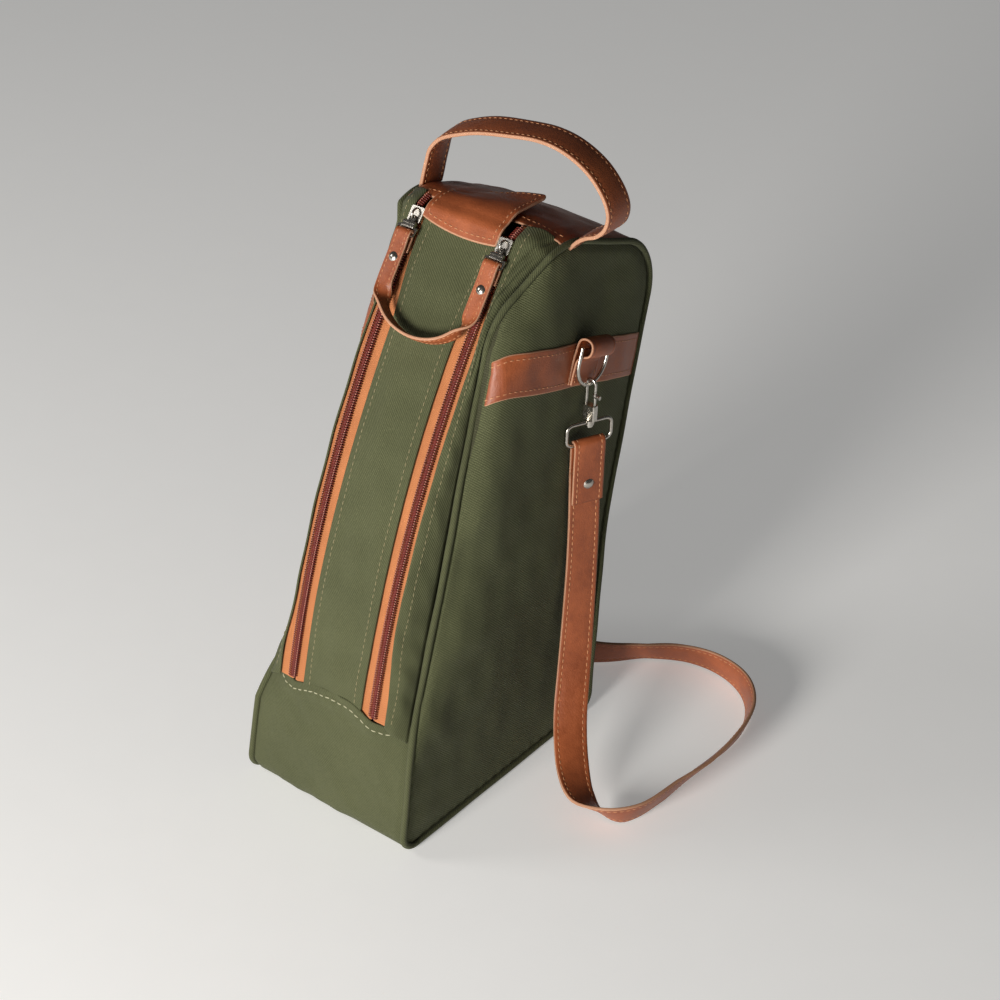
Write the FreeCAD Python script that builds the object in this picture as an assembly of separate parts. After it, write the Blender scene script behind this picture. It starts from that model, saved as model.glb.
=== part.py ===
import FreeCAD, Part
import math
import os

# Golf shoe bag: a boxy fabric bag that stands on a flat base, leans back a little towards the top,
# and opens with two parallel zips that free the middle of its front.
# Millimetres, +Z up, the front faces -Y, +X is to the right of the front. The origin is the middle
# of the base, on the surface that the bag stands on. "Side line" points below are (y, z, corner radius).

Vec = FreeCAD.Vector
X_AXIS = Vec(1, 0, 0)
Z_AXIS = Vec(0, 0, 1)

# ---------------------------------------------------------------- driving dimensions
HALF_WIDTH = 75.0           # middle of the bag to the outer face of a side panel
CLOTH = 2.0                 # padded cloth, all layers
LEATHER = 1.8
PIPE_R = 2.4                # welt sewn into the edge of each side panel
PIPE_X = HALF_WIDTH - 1.0   # plane of the welt
SEAM = 0.1                  # what sewn pieces stay clear of each other by
MOVING = 0.4                # what moving pieces stay clear of their neighbours by
GUSSET_X = PIPE_X - PIPE_R - SEAM

FRONT_FOOT = (-112.5, 2.8, 14.0)
FRONT_KNEE = (-103.0, 96.0, 300.0)
FRONT_SHOULDER = (-21.0, 402.0, 42.0)
CREST = (57.0, 428.0, 55.0)
BACK_SHOULDER = (168.0, 384.0, 46.0)
BACK_KNEE = (121.0, 165.0, 260.0)
BACK_FOOT = (113.5, 2.8, 14.0)
SIDE_LINE = [FRONT_FOOT, FRONT_KNEE, FRONT_SHOULDER, CREST, BACK_SHOULDER, BACK_KNEE, BACK_FOOT]
GUSSET_RISE = 0.8           # how far the gusset stands outside the welt's line

LOWER_SEAM_Z = 103.0        # top edge of the lower front panel
YOKE_FRONT_Y = 53.0         # front edge of the leather yoke
YOKE_BACK_Z = 396.0         # where the yoke meets the back panel

# the zips lie on one large arc, so that a slider can follow it round one centre
ZIP_X = 38.0                # middle of a zip
ZIP_FOOT = (-103.0, 100.0)
ZIP_TOP = (40.5, 421.5)
ZIP_RISE = 20.0             # how far the arc stands in front of its chord
ZIP_BEND_R = 5.0            # small bend where the front turns into the top
TAPE = 0.8
TAPE_DROP = 2.2             # top of the tape below the cloth's face
TAPE_HALF = 11.9            # middle of the zip to the sewn edge of a tape
EDGE_HALF = 12.0            # middle of the zip to the folded edge of the cloth
COIL_IN = 0.3               # middle of the zip to the near side of a coil
COIL_OUT = 2.9
COIL_TOP = 0.3              # top of the coils above the cloth's face

SLIDER_HALF = 5.5           # half of a slider's length and of its width
OPEN_FROM = 3.0             # slider's middle to the first parted coil, along the arc
SLIDER_REST = 5.2           # slider's middle below the top of the arc, along it
BAIL_R = 3.6
BAIL_OUT = 2.8              # bail's centre in front of the zip line
BAIL_WIRE = 0.8
LINK_TILT = 12.0            # how far a pull link stands off the slider, degrees
LINK_HALF = 7.5             # half width of a link's frame, to the middle of its wire
LINK_LONG = 16.0            # bail's centre to the bar that holds the leather

PULL_WIDE = 12.6
PULL_LONG = 64.0
PULL_THICK = 2.2
PULL_ARM = 30.0             # straight part of the pull strap below a bar
PULL_STEPS = 40
PULL_FOLD_OUT = 3.4         # the strap's end folded round the bar: outer and inner radius
PULL_FOLD_IN = 1.2

TAB_HALF = 32.0
TAB_FRONT_Y = 35.0
TAB_SEAM_Y = 46.0
TAB_BACK_Y = 87.0
TAB_CREST_R = 11.0

HANDLE_Y = 78.5
HANDLE_WIDE = 25.0
HANDLE_THICK = 3.0
HANDLE_LINE = [(-57.0, 437.0, 0), (-56.0, 466.0, 30.0), (60.0, 500.0, 60.0), (106.0, 470.0, 30.0),
               (100.0, 430.0, 15.0), (79.0, 427.4, 0)]     # (x, z, corner radius)
HANDLE_END_LEFT = [(-70.5, 427.6, 0), (-58.5, 429.5, 4.0), (-57.2, 436.6, 0)]
HANDLE_END_RIGHT = [(78.6, 427.4, 0), (66.0, 427.8, 0)]

BAND_REF = (55.0, 331.5)    # a point (y, z) on the middle of the leather side bands
BAND_SLOPE = -17.0          # degrees, they fall towards the back
BAND_TALL = 30.0
BAND_THICK = 1.7
LOOP_AT = (24.6, 15.4)      # middle of the rolled ring loop from BAND_REF, along and across the band
LOOP_WIDE = 30.0
LOOP_R = 7.4
LOOP_X = HALF_WIDTH + SEAM + BAND_THICK + SEAM + LOOP_R
RING_WIRE = 1.3
RING_HALF = 16.8            # half width of a D-ring, to the middle of its wire
RING_LEG = 11.2

HOOK_BAR = 1.1
HOOK_R = 3.6                # middle of the hook's opening to the middle of its bars
HOOK_GAP = 19.0             # top of the opening to the block
NOSE_LONG = 4.7
BOLT_R = 1.0
BLOCK = (10.4, 5.2, 12.0)
LOOP_WIRE = 1.3
BUCKLE_HALF = 18.0          # half width of the strap loop, to the middle of its wire
BUCKLE_TALL = 17.0
STRAP_WIDE = 25.0
STRAP_THICK = 2.2
STRAP_FACING_RIGHT = 24.0   # degrees, how far the right end of the strap is turned to the front
STRAP_STEP = 7.0            # length of one flat facet of the long strap
TAIL_LONG = 48.0
RIVET_R = 4.1               # domed rivet through the folded end
RIVET_BALL = 5.6
RIVET_RISE = 1.8
STRAP_START = 24.0          # top of the long strap below the bar that its end is folded over


# ---------------------------------------------------------------- lines with rounded corners
def shifted(points, shift, closed=False):
    """The same corners, with every side moved to its left by shift."""
    count = len(points)
    sides = count if closed else count - 1
    lines = []
    for i in range(sides):
        a, b = points[i], points[(i + 1) % count]
        length = math.hypot(b[0] - a[0], b[1] - a[1])
        du, dv = (b[0] - a[0]) / length, (b[1] - a[1]) / length
        lines.append((a[0] - dv * shift, a[1] + du * shift, du, dv, length))
    moved = []
    for i in range(count):
        if not closed and i == 0:
            moved.append((lines[0][0], lines[0][1], 0))
            continue
        if not closed and i == count - 1:
            u, v, du, dv, length = lines[-1]
            moved.append((u + du * length, v + dv * length, 0))
            continue
        u0, v0, du0, dv0, _ = lines[i - 1]
        u1, v1, du1, dv1, _ = lines[i]
        turn = du0 * dv1 - dv0 * du1
        along = ((u1 - u0) * dv1 - (v1 - v0) * du1) / turn
        radius = points[i][2] - shift if turn > 0 else points[i][2] + shift
        moved.append((u0 + du0 * along, v0 + dv0 * along, max(radius, 0) if points[i][2] else 0))
    return moved


def rounded(points, closed=False, shift=0.0, at=lambda u, v: Vec(0, u, v)):
    """Edges through the corners, each rounded by its radius; at() places them in space."""
    corners = shifted(points, shift, closed) if shift else list(points)
    count = len(corners)
    stops = []
    for i, (u, v, radius) in enumerate(corners):
        if not radius or (not closed and i in (0, count - 1)):
            stops.append(((u, v), None, (u, v)))
            continue
        before, after = corners[i - 1], corners[(i + 1) % count]
        a = math.atan2(v - before[1], u - before[0])
        b = math.atan2(after[1] - v, after[0] - u)
        turn = (b - a + math.pi) % (2 * math.pi) - math.pi
        cut = radius * math.tan(abs(turn) / 2)
        sag = radius * (1 / math.cos(turn / 2) - 1)
        inward = (a + b) / 2 + (math.pi / 2 if turn > 0 else -math.pi / 2)
        if abs(b - a) > math.pi:
            inward += math.pi
        stops.append(((u - cut * math.cos(a), v - cut * math.sin(a)),
                      (u + sag * math.cos(inward), v + sag * math.sin(inward)),
                      (u + cut * math.cos(b), v + cut * math.sin(b))))
    edges = []
    for i, (start, middle, end) in enumerate(stops):
        if middle:
            edges.append(Part.Arc(at(*start), at(*middle), at(*end)).toShape())
        if i + 1 < count or closed:
            following = stops[(i + 1) % count][0]
            if math.hypot(following[0] - end[0], following[1] - end[1]) > 1e-4:
                edges.append(Part.LineSegment(at(*end), at(*following)).toShape())
    return edges


def joined(first, second):
    """A face between two open lines that run the same way."""
    a, b = Part.Wire(first), Part.Wire(second)
    ends = [Part.LineSegment(a.OrderedVertexes[i].Point, b.OrderedVertexes[i].Point).toShape()
            for i in (-1, 0)]
    return Part.Face(Part.Wire(Part.__sortEdges__(first + second + ends)))


def band(points, low, high, x0, x1):
    """A strip of material that follows a side line, between two heights over it, from x0 to x1."""
    face = joined(rounded(points, shift=high), rounded(points, shift=low))
    face.translate(Vec(x0, 0, 0))
    return face.extrude(Vec(x1 - x0, 0, 0))


def box(x0, x1, y0, y1, z0, z1):
    return Part.makeBox(x1 - x0, y1 - y0, z1 - z0, Vec(x0, y0, z0))


def rod(radius, start, end):
    return Part.makeCylinder(radius, (end - start).Length, start, end - start)


def wire_rod(edges, radius):
    """A round wire along lines and arcs that meet end to end."""
    pieces = []
    for edge in edges:
        start, end = edge.valueAt(edge.FirstParameter), edge.valueAt(edge.LastParameter)
        if isinstance(edge.Curve, Part.Line):
            pieces.append(rod(radius, start, end))
        else:
            tangent = edge.tangentAt(edge.FirstParameter)
            disc = Part.Face(Part.Wire(Part.makeCircle(radius, start, tangent)))
            middle = edge.Curve.Center
            axis = (start - middle).cross(tangent)
            sweep = math.degrees(edge.Length / edge.Curve.Radius)
            pieces.append(disc.revolve(middle, axis, sweep))
    return pieces[0].multiFuse(pieces[1:]).removeSplitter()


def ribbon(centres, widths, wide, thick):
    """A flat strap through the centres; widths are the directions across it."""
    sections = []
    for i, centre in enumerate(centres):
        ahead = (centres[min(i + 1, len(centres) - 1)] - centres[max(i - 1, 0)]).normalize()
        across = (widths[i] - ahead * widths[i].dot(ahead)).normalize() * (wide / 2)
        through = ahead.cross(across).normalize() * (thick / 2)
        corners = [centre + across + through, centre + across - through,
                   centre - across - through, centre - across + through]
        sections.append(Part.makePolygon(corners + corners[:1]))
    return Part.makeLoft(sections, True, True)


def mirrored(shape):
    return shape.mirror(Vec(0, 0, 0), X_AXIS)


# ---------------------------------------------------------------- the zip line
def zip_line():
    """Corners of the line that both zips follow, and the centre, radius and top angle of its arc."""
    (y0, z0), (y1, z1) = ZIP_FOOT, ZIP_TOP
    chord = math.hypot(y1 - y0, z1 - z0)
    radius = chord ** 2 / (8 * ZIP_RISE) + ZIP_RISE / 2
    half = math.asin(chord / 2 / radius)
    lean = math.atan2(z1 - z0, y1 - y0)
    reach = radius * math.tan(half)
    bend = (y0 + reach * math.cos(lean + half), z0 + reach * math.sin(lean + half), radius)
    centre = (y1 + radius * math.sin(lean - half), z1 - radius * math.cos(lean - half))
    top_line = rounded([FRONT_SHOULDER, CREST], shift=GUSSET_RISE)[0]
    start, way = top_line.Vertexes[0].Point, top_line.tangentAt(0)
    slope = math.tan(lean - half)
    rise = way.z / way.y
    y = (start.z - rise * start.y - z1 + slope * y1) / (slope - rise)
    knuckle = (y, z1 + slope * (y - y1), ZIP_BEND_R)
    end = (YOKE_FRONT_Y - SEAM, start.z + rise * (YOKE_FRONT_Y - SEAM - start.y), 0)
    return [(y0, z0, 0), bend, knuckle, end], centre, radius, lean - half


ZIP_LINE, ZIP_CENTRE, ZIP_R, ZIP_TOP_LEAN = zip_line()
PANEL_FOOT_Z = LOWER_SEAM_Z + 0.5


def zip_place(down):
    """(y, z, lean in degrees) of the point that far down the arc from its top."""
    lean = ZIP_TOP_LEAN + down / ZIP_R
    y = ZIP_CENTRE[0] - ZIP_R * math.sin(lean)
    z = ZIP_CENTRE[1] + ZIP_R * math.cos(lean)
    return y, z, math.degrees(lean)


def on_zip(shape, down):
    """Places a shape made upright at the origin, facing -Y, onto the zip line."""
    y, z, lean = zip_place(down)
    placed = shape.copy()
    placed.rotate(Vec(0, 0, 0), X_AXIS, lean - 90)
    placed.translate(Vec(0, y, z))
    return placed


def trimmed(shape):
    """Ends a piece of the front at the seam of the lower panel and at the edge of the yoke."""
    whole = shape.cut(box(-90, 90, -160, 60, 0, PANEL_FOOT_Z))
    return whole.cut(box(-90, 90, YOKE_FRONT_Y - MOVING, 90, 380, 460))


# ---------------------------------------------------------------- the bag itself
def gusset():
    """The whole ring of cloth between the two side panels."""
    outer = Part.Face(Part.Wire(rounded(SIDE_LINE, True, GUSSET_RISE)))
    inner = Part.Face(Part.Wire(rounded(SIDE_LINE, True, GUSSET_RISE - CLOTH)))
    ring = outer.cut(inner)
    ring.translate(Vec(-GUSSET_X, 0, 0))
    return ring.extrude(Vec(2 * GUSSET_X, 0, 0))


def side_panel():
    outline = Part.Face(Part.Wire(rounded(SIDE_LINE, True, -PIPE_R - SEAM)))
    outline.translate(Vec(HALF_WIDTH - CLOTH, 0, 0))
    return outline.extrude(Vec(CLOTH, 0, 0))


def piping():
    line = rounded(SIDE_LINE, True, 0, lambda u, v: Vec(PIPE_X, u, v))
    return wire_rod(line, PIPE_R)


def spline_through(edges, count):
    curve = Part.BSplineCurve()
    curve.interpolate(Part.Wire(edges).discretize(Number=count))
    return curve.toShape()


def front_strip():
    """Cloth between a zip and the welt: its inner edge follows the zip, its outer edge the side line."""
    rise = (CREST[1] - FRONT_SHOULDER[1]) / (CREST[0] - FRONT_SHOULDER[0])
    lean = (FRONT_SHOULDER[0] - FRONT_KNEE[0]) / (FRONT_SHOULDER[1] - FRONT_KNEE[1])
    foot = (FRONT_KNEE[0] + lean * (PANEL_FOOT_Z - FRONT_KNEE[1]), PANEL_FOOT_Z, 0)
    end_y = YOKE_FRONT_Y - SEAM
    top = (end_y, FRONT_SHOULDER[1] + rise * (end_y - FRONT_SHOULDER[0]), 0)
    sections = []
    edges = ((ZIP_X + EDGE_HALF, ZIP_LINE, 0), (GUSSET_X, [foot, FRONT_SHOULDER, top], GUSSET_RISE))
    for x, line, lift in edges:
        outer = spline_through(rounded(line, shift=lift), 24)
        inner = spline_through(rounded(line, shift=lift - CLOTH), 24)
        ends = [Part.LineSegment(outer.valueAt(p), inner.valueAt(q)).toShape()
                for p, q in ((outer.FirstParameter, inner.FirstParameter),
                             (outer.LastParameter, inner.LastParameter))]
        section = Part.Wire([outer, ends[1], inner, ends[0]])
        section.translate(Vec(x, 0, 0))
        sections.append(section)
    return trimmed(Part.makeLoft(sections, True, True))


def zip_half(inner):
    """One tape with its coil, on the right zip: the panel's side of the chain, or the bag's side."""
    way = -1 if inner else 1
    near, far = ZIP_X + way * COIL_IN, ZIP_X + way * TAPE_HALF
    tape = band(ZIP_LINE, -TAPE_DROP - TAPE, -TAPE_DROP, min(near, far), max(near, far))
    far = ZIP_X + way * COIL_OUT
    coil = band(ZIP_LINE, -TAPE_DROP + 0.02, COIL_TOP, min(near, far), max(near, far))
    if inner:
        # above the slider the zip is open, and the panel's coil and tape edge are pulled away from it
        y, z, lean = zip_place(SLIDER_REST - OPEN_FROM)
        above = box(ZIP_X - COIL_OUT - 0.1, 60, -15, 15, 0, 60)
        above.rotate(Vec(0, 0, 0), X_AXIS, lean - 90)
        above.translate(Vec(0, y, z))
        coil = coil.cut(above)
        tape = tape.cut(above)
    return trimmed(tape), trimmed(coil)


# ---------------------------------------------------------------- sliders and the pull strap
def slider():
    """Upright at the origin, facing -Y, with its middle on the right zip's middle."""
    half = SLIDER_HALF
    top = box(-half, half, -2.2, -0.7, -half, half)
    top = top.makeFillet(1.4, [e for e in top.Edges if abs(e.tangentAt(0).y) > 0.9])
    bottom = box(-half, half, TAPE_DROP + TAPE + MOVING, TAPE_DROP + TAPE + MOVING + 1.2, -half, half)
    wall = COIL_OUT + MOVING
    flanges = [box(side * wall - 0.65 + side * 0.65, side * wall + 0.65 + side * 0.65, -0.8,
                   TAPE_DROP - MOVING, -half + 1, half - 1) for side in (-1, 1)]
    post = box(-2.0, -0.1, -0.8, TAPE_DROP + TAPE + MOVING + 0.1, 3.6, half)
    bail = Part.makeTorus(BAIL_R, BAIL_WIRE, Vec(0, -BAIL_OUT, 0), X_AXIS)
    bail = bail.common(box(-2, 2, -12, -2.0, -8, 8))
    body = top.multiFuse([bottom, post, bail] + flanges).removeSplitter()
    body.translate(Vec(ZIP_X, 0, 0))
    return body


def pull_link():
    """Hangs down from the bail: an eye, a ribbed box and the bar that the leather is folded over."""
    eye = box(-2.6, 2.6, -0.6, 0.6, -7.0, -1.4)
    eye = eye.makeFillet(2.2, [e for e in eye.Edges if abs(e.tangentAt(0).y) > 0.9
                               and e.BoundBox.ZMin > -3])
    hole = rod(BAIL_WIRE + 0.45, Vec(0, -2, -BAIL_R), Vec(0, 2, -BAIL_R))
    case = box(-5.2, 5.2, -1.5, 1.5, -11.4, -6.0)
    case = case.makeFillet(0.7, case.Edges)
    ribs = [box(-5.4, 5.4, -2.0, 2.0, z, z + 0.9) for z in (-8.2, -10.4)]
    bar_z = -LINK_LONG
    frame = wire_rod([Part.LineSegment(a, b).toShape() for a, b in (
        (Vec(-LINK_HALF, 0, -10.8), Vec(-LINK_HALF, 0, bar_z)),
        (Vec(-LINK_HALF, 0, bar_z), Vec(LINK_HALF, 0, bar_z)),
        (Vec(LINK_HALF, 0, bar_z), Vec(LINK_HALF, 0, -10.8)))], 0.8)
    shoulder = box(-LINK_HALF - 0.8, LINK_HALF + 0.8, -0.8, 0.8, -11.4, -10.0)
    body = eye.cut(hole).multiFuse([case, frame, shoulder] + ribs).removeSplitter()
    body.rotate(Vec(0, 0, 0), X_AXIS, -LINK_TILT)
    body.translate(Vec(ZIP_X, -BAIL_OUT, 0))
    return body


def pull_bar():
    """(y, z) of the bar, in the slider's upright frame."""
    tilt = math.radians(LINK_TILT)
    return -BAIL_OUT - LINK_LONG * math.sin(tilt), -LINK_LONG * math.cos(tilt)


def pull_strap():
    """A narrow strap from one bar to the other: flat at its ends, on edge round its bottom bend."""
    out, top = pull_bar()
    centres, widths = [], []
    for i in range(PULL_STEPS + 1):
        turn = math.pi * i / PULL_STEPS
        on_edge = min(1.0, max(0.0, (math.sin(turn) - 0.10) / 0.45))
        flat = (1 - on_edge) * (1 if i <= PULL_STEPS / 2 else -1)
        drop = PULL_ARM + (PULL_LONG - PULL_ARM) * math.sin(turn)
        centres.append(Vec(ZIP_X * math.cos(turn), out + 0.6 - 1.2 * on_edge, top - drop))
        side = Vec(math.cos(turn), 0, -math.sin(turn))
        widths.append(side * flat + Vec(0, -on_edge, 0))
    right, left = ([Vec(x, out + 0.4, top - d) for d in (4.0, 20.0)] for x in (ZIP_X, -ZIP_X))
    centres = right + centres + left[::-1]
    widths = [widths[0]] * 2 + widths + [widths[-1]] * 2
    folds = []
    for side in (1, -1):
        x0, x1 = side * ZIP_X - PULL_WIDE / 2, side * ZIP_X + PULL_WIDE / 2
        fold = rod(PULL_FOLD_OUT, Vec(x0, out, top), Vec(x1, out, top))
        under = box(x0, x1, out + PULL_FOLD_IN, out + PULL_FOLD_OUT, top - 23.0, top)
        over = box(x0, x1, out - PULL_FOLD_OUT, out - PULL_FOLD_IN, top - 5.0, top)
        bore = rod(PULL_FOLD_IN, Vec(x0 - 1, out, top), Vec(x1 + 1, out, top))
        folds.append(fold.multiFuse([under, over]).cut(bore))
    return ribbon(centres, widths, PULL_WIDE, PULL_THICK).multiFuse(folds)


def pull_rivets():
    out, top = pull_bar()
    caps = []
    for side in (1, -1):
        centre = Vec(side * ZIP_X, out - 0.8, top - 17.0)
        cap = Part.makeSphere(5.2, centre + Vec(0, 2.6, 0)).common(
            Part.makeCylinder(4.2, 6, centre, Vec(0, -1, 0)))
        caps.append(cap)
    return Part.makeCompound(caps)


# ---------------------------------------------------------------- tab, yoke, handle
def tab_line():
    """The leather tab lies on the top of the zip line and on the yoke."""
    knuckle, end = ZIP_LINE[2], ZIP_LINE[3]
    crest = shifted([FRONT_SHOULDER, CREST, BACK_SHOULDER], GUSSET_RISE)[1]
    back = shifted([CREST, BACK_SHOULDER], GUSSET_RISE)
    fall = (back[1][1] - back[0][1]) / (back[1][0] - back[0][0])
    foot = (TAB_FRONT_Y, knuckle[1] + (TAB_FRONT_Y - knuckle[0]) * math.tan(ZIP_TOP_LEAN), 0)
    return [foot, knuckle, (crest[0], crest[1], TAB_CREST_R),
            (TAB_BACK_Y, crest[1] + fall * (TAB_BACK_Y - crest[0]), 0)]


def tab():
    whole = band(tab_line(), MOVING, MOVING + LEATHER, -TAB_HALF, TAB_HALF)
    base = whole.common(box(-60, 60, 0, TAB_SEAM_Y, 380, 460))
    flap = whole.common(box(-60, 60, TAB_SEAM_Y + MOVING, 120, 380, 460))
    upright = [e for e in flap.Edges if e.BoundBox.YMin > TAB_BACK_Y - 3 and e.Length < LEATHER + 0.5
               and e.BoundBox.XLength < 0.1]
    return base, flap.makeFillet(7.0, upright)


def handle_end(line, x0, x1):
    """A sewn end of the handle, with the pad of leather that beds it on the yoke."""
    bag = Part.Face(Part.Wire(rounded(SIDE_LINE, True, GUSSET_RISE + SEAM)))
    bag.translate(Vec(-90, 0, 0))
    y0, y1 = HANDLE_Y - HANDLE_WIDE / 2, HANDLE_Y + HANDLE_WIDE / 2
    pad = box(x0, x1, y0, y1, 410, 427).cut(bag.extrude(Vec(180, 0, 0)))
    for welt in (piping(), mirrored(piping())):
        pad = pad.cut(welt)
    return handle_piece(line).fuse(pad).removeSplitter()


def handle_piece(line):
    face = joined(rounded(line, shift=HANDLE_THICK / 2, at=lambda u, v: Vec(u, 0, v)),
                  rounded(line, shift=-HANDLE_THICK / 2, at=lambda u, v: Vec(u, 0, v)))
    face.translate(Vec(0, HANDLE_Y - HANDLE_WIDE / 2, 0))
    return face.extrude(Vec(0, HANDLE_WIDE, 0))


# ---------------------------------------------------------------- side band, ring, hook
def tilted(shape):
    placed = shape.copy()
    placed.rotate(Vec(0, 0, 0), X_AXIS, BAND_SLOPE)
    placed.translate(Vec(0, BAND_REF[0], BAND_REF[1]))
    return placed


def side_band():
    strip = tilted(box(HALF_WIDTH + SEAM, HALF_WIDTH + SEAM + BAND_THICK, -200, 200,
                       -BAND_TALL / 2, BAND_TALL / 2))
    outline = Part.Face(Part.Wire(rounded(SIDE_LINE, True, -PIPE_R - SEAM)))
    outline.translate(Vec(HALF_WIDTH, 0, 0))
    return strip.common(outline.extrude(Vec(BAND_THICK + 1, 0, 0)))


def ring_loop():
    along, across = LOOP_AT
    start = Vec(LOOP_X, along - LOOP_WIDE / 2, across)
    roll = rod(LOOP_R, start, start + Vec(0, LOOP_WIDE, 0))
    tail_x = HALF_WIDTH + SEAM + BAND_THICK + SEAM
    tail = box(tail_x, tail_x + LEATHER, along - LOOP_WIDE / 2, along + LOOP_WIDE / 2, -13.0, across)
    bore = rod(LOOP_R - LEATHER, start - Vec(0, 1, 0), start + Vec(0, LOOP_WIDE + 1, 0))
    return tilted(roll.fuse(tail).cut(bore))


def d_ring():
    along, across = LOOP_AT

    def at(u, v):
        return Vec(LOOP_X, along + u, across + v)
    a, b = (-RING_HALF, -RING_LEG), (RING_HALF, -RING_LEG)
    edges = [Part.LineSegment(at(-RING_HALF, 0), at(RING_HALF, 0)).toShape(),
             Part.LineSegment(at(RING_HALF, 0), at(*b)).toShape(),
             Part.Arc(at(*b), at(0, -RING_LEG - RING_HALF), at(*a)).toShape(),
             Part.LineSegment(at(*a), at(-RING_HALF, 0)).toShape()]
    ring = wire_rod(edges, RING_WIRE)
    knees = [Part.makeSphere(RING_WIRE, at(s * RING_HALF, 0)) for s in (-1, 1)]
    return tilted(ring.multiFuse(knees).removeSplitter())


def ring_low_point():
    """Middle of the D-ring's wire where it is lowest: the hook hangs there."""
    slope = math.radians(BAND_SLOPE)
    along, across = LOOP_AT[0], LOOP_AT[1] - RING_LEG
    y = BAND_REF[0] + along * math.cos(slope) - across * math.sin(slope)
    z = BAND_REF[1] + along * math.sin(slope) + across * math.cos(slope)
    return Vec(LOOP_X, y, z - RING_HALF)


HANG = ring_low_point()
ARCH_Z = HANG.z + RING_WIRE + MOVING - (HOOK_R - HOOK_BAR)
BLOCK_TOP = ARCH_Z + HOOK_R - HOOK_BAR - HOOK_GAP
BLOCK_LOW = BLOCK_TOP - BLOCK[2]
BOSS_TOP = BLOCK_LOW - MOVING
BOSS_TALL = 3.4
BUCKLE_TOP = BOSS_TOP - BOSS_TALL / 2
BUCKLE_LOW = BUCKLE_TOP - BUCKLE_TALL
STUD_R = 1.5
STUD_HEAD = 1.4
BOLT_KNOB_R = 1.5


def snap_hook():
    def at(u, v):
        return Vec(HANG.x + u, HANG.y, v)
    edges = [Part.LineSegment(at(-HOOK_R, BLOCK_TOP - 1), at(-HOOK_R, ARCH_Z)).toShape(),
             Part.Arc(at(-HOOK_R, ARCH_Z), at(0, ARCH_Z + HOOK_R), at(HOOK_R, ARCH_Z)).toShape(),
             Part.LineSegment(at(HOOK_R, ARCH_Z), at(HOOK_R, ARCH_Z - NOSE_LONG)).toShape()]
    hook = wire_rod(edges, HOOK_BAR)
    wide, deep, _ = BLOCK
    block = box(HANG.x - wide / 2, HANG.x + wide / 2, HANG.y - deep / 2, HANG.y + deep / 2,
                BLOCK_LOW, BLOCK_TOP)
    block = block.makeFillet(1.2, [e for e in block.Edges if abs(e.tangentAt(0).z) > 0.9])
    under_boss = BOSS_TOP - BOSS_TALL - MOVING
    neck = rod(STUD_R, at(0, BLOCK_LOW + 1), at(0, under_boss))
    head = rod(STUD_R + 1.1, at(0, under_boss), at(0, under_boss - STUD_HEAD))
    bore = rod(BOLT_R + 0.25, at(HOOK_R, BLOCK_LOW - 1), at(HOOK_R, BLOCK_TOP + 1))
    return hook.multiFuse([block.cut(bore), neck, head]).removeSplitter()


def hook_bolt():
    top = ARCH_Z - NOSE_LONG - MOVING
    x = HANG.x + HOOK_R
    pin = rod(BOLT_R, Vec(x, HANG.y, top), Vec(x, HANG.y, BLOCK_LOW + 5.5))
    knob = rod(BOLT_KNOB_R, Vec(x, HANG.y, BLOCK_TOP + 7.4), Vec(x + 4.2, HANG.y, BLOCK_TOP + 7.4))
    collar = rod(BOLT_KNOB_R, Vec(x, HANG.y, BLOCK_TOP + 9.4), Vec(x, HANG.y, BLOCK_TOP + 5.6))
    return pin.multiFuse([knob, collar]).removeSplitter()


def turned(shape, facing):
    """Turns a fitting made facing +X about the hook's own upright axis, towards the front."""
    placed = shape.copy()
    placed.rotate(HANG, Z_AXIS, -facing)
    return placed


def swivel_loop(facing):
    """Wire loop for the strap, with the boss that the hook's stud turns in."""
    corner = 5.0

    def at(u, v):
        return Vec(HANG.x, HANG.y + u, v)
    frame = [(-BUCKLE_HALF, BUCKLE_LOW, corner), (BUCKLE_HALF, BUCKLE_LOW, corner),
             (BUCKLE_HALF, BUCKLE_TOP, corner), (-BUCKLE_HALF, BUCKLE_TOP, corner)]
    loop = wire_rod(rounded(frame, True, 0, at), LOOP_WIRE)
    boss = rod(3.4, at(0, BOSS_TOP), at(0, BOSS_TOP - BOSS_TALL))
    hole = rod(STUD_R + 0.2, at(0, BOSS_TOP + 1), at(0, BOSS_TOP - BOSS_TALL - 1))
    return turned(loop.fuse(boss).cut(hole).removeSplitter(), facing)


def strap_end(facing):
    """The end of the strap, folded over the loop's lower bar, with its tail on the outside."""
    inner = LOOP_WIRE + 0.3
    outer = inner + STRAP_THICK
    y0 = HANG.y - STRAP_WIDE / 2
    fold = Part.makeCylinder(outer, STRAP_WIDE, Vec(HANG.x, y0, BUCKLE_LOW), Vec(0, 1, 0))
    bore = Part.makeCylinder(inner, STRAP_WIDE + 2, Vec(HANG.x, y0 - 1, BUCKLE_LOW), Vec(0, 1, 0))
    tail = box(HANG.x + inner, HANG.x + outer, y0, y0 + STRAP_WIDE, BUCKLE_LOW - TAIL_LONG, BUCKLE_LOW)
    back = box(HANG.x - outer, HANG.x - inner, y0, y0 + STRAP_WIDE, BUCKLE_LOW - STRAP_START + MOVING,
               BUCKLE_LOW)
    return turned(fold.multiFuse([tail, back]).cut(bore).removeSplitter(), facing)


def strap_rivet(facing):
    outer = LOOP_WIRE + 0.3 + STRAP_THICK
    centre = Vec(HANG.x + outer, HANG.y, BUCKLE_LOW - TAIL_LONG * 0.68)
    cap = Part.makeSphere(RIVET_BALL, centre - Vec(RIVET_BALL - RIVET_RISE, 0, 0)).common(
        Part.makeCylinder(RIVET_R, RIVET_BALL, centre + Vec(0.02, 0, 0), X_AXIS))
    return turned(cap, facing)


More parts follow.
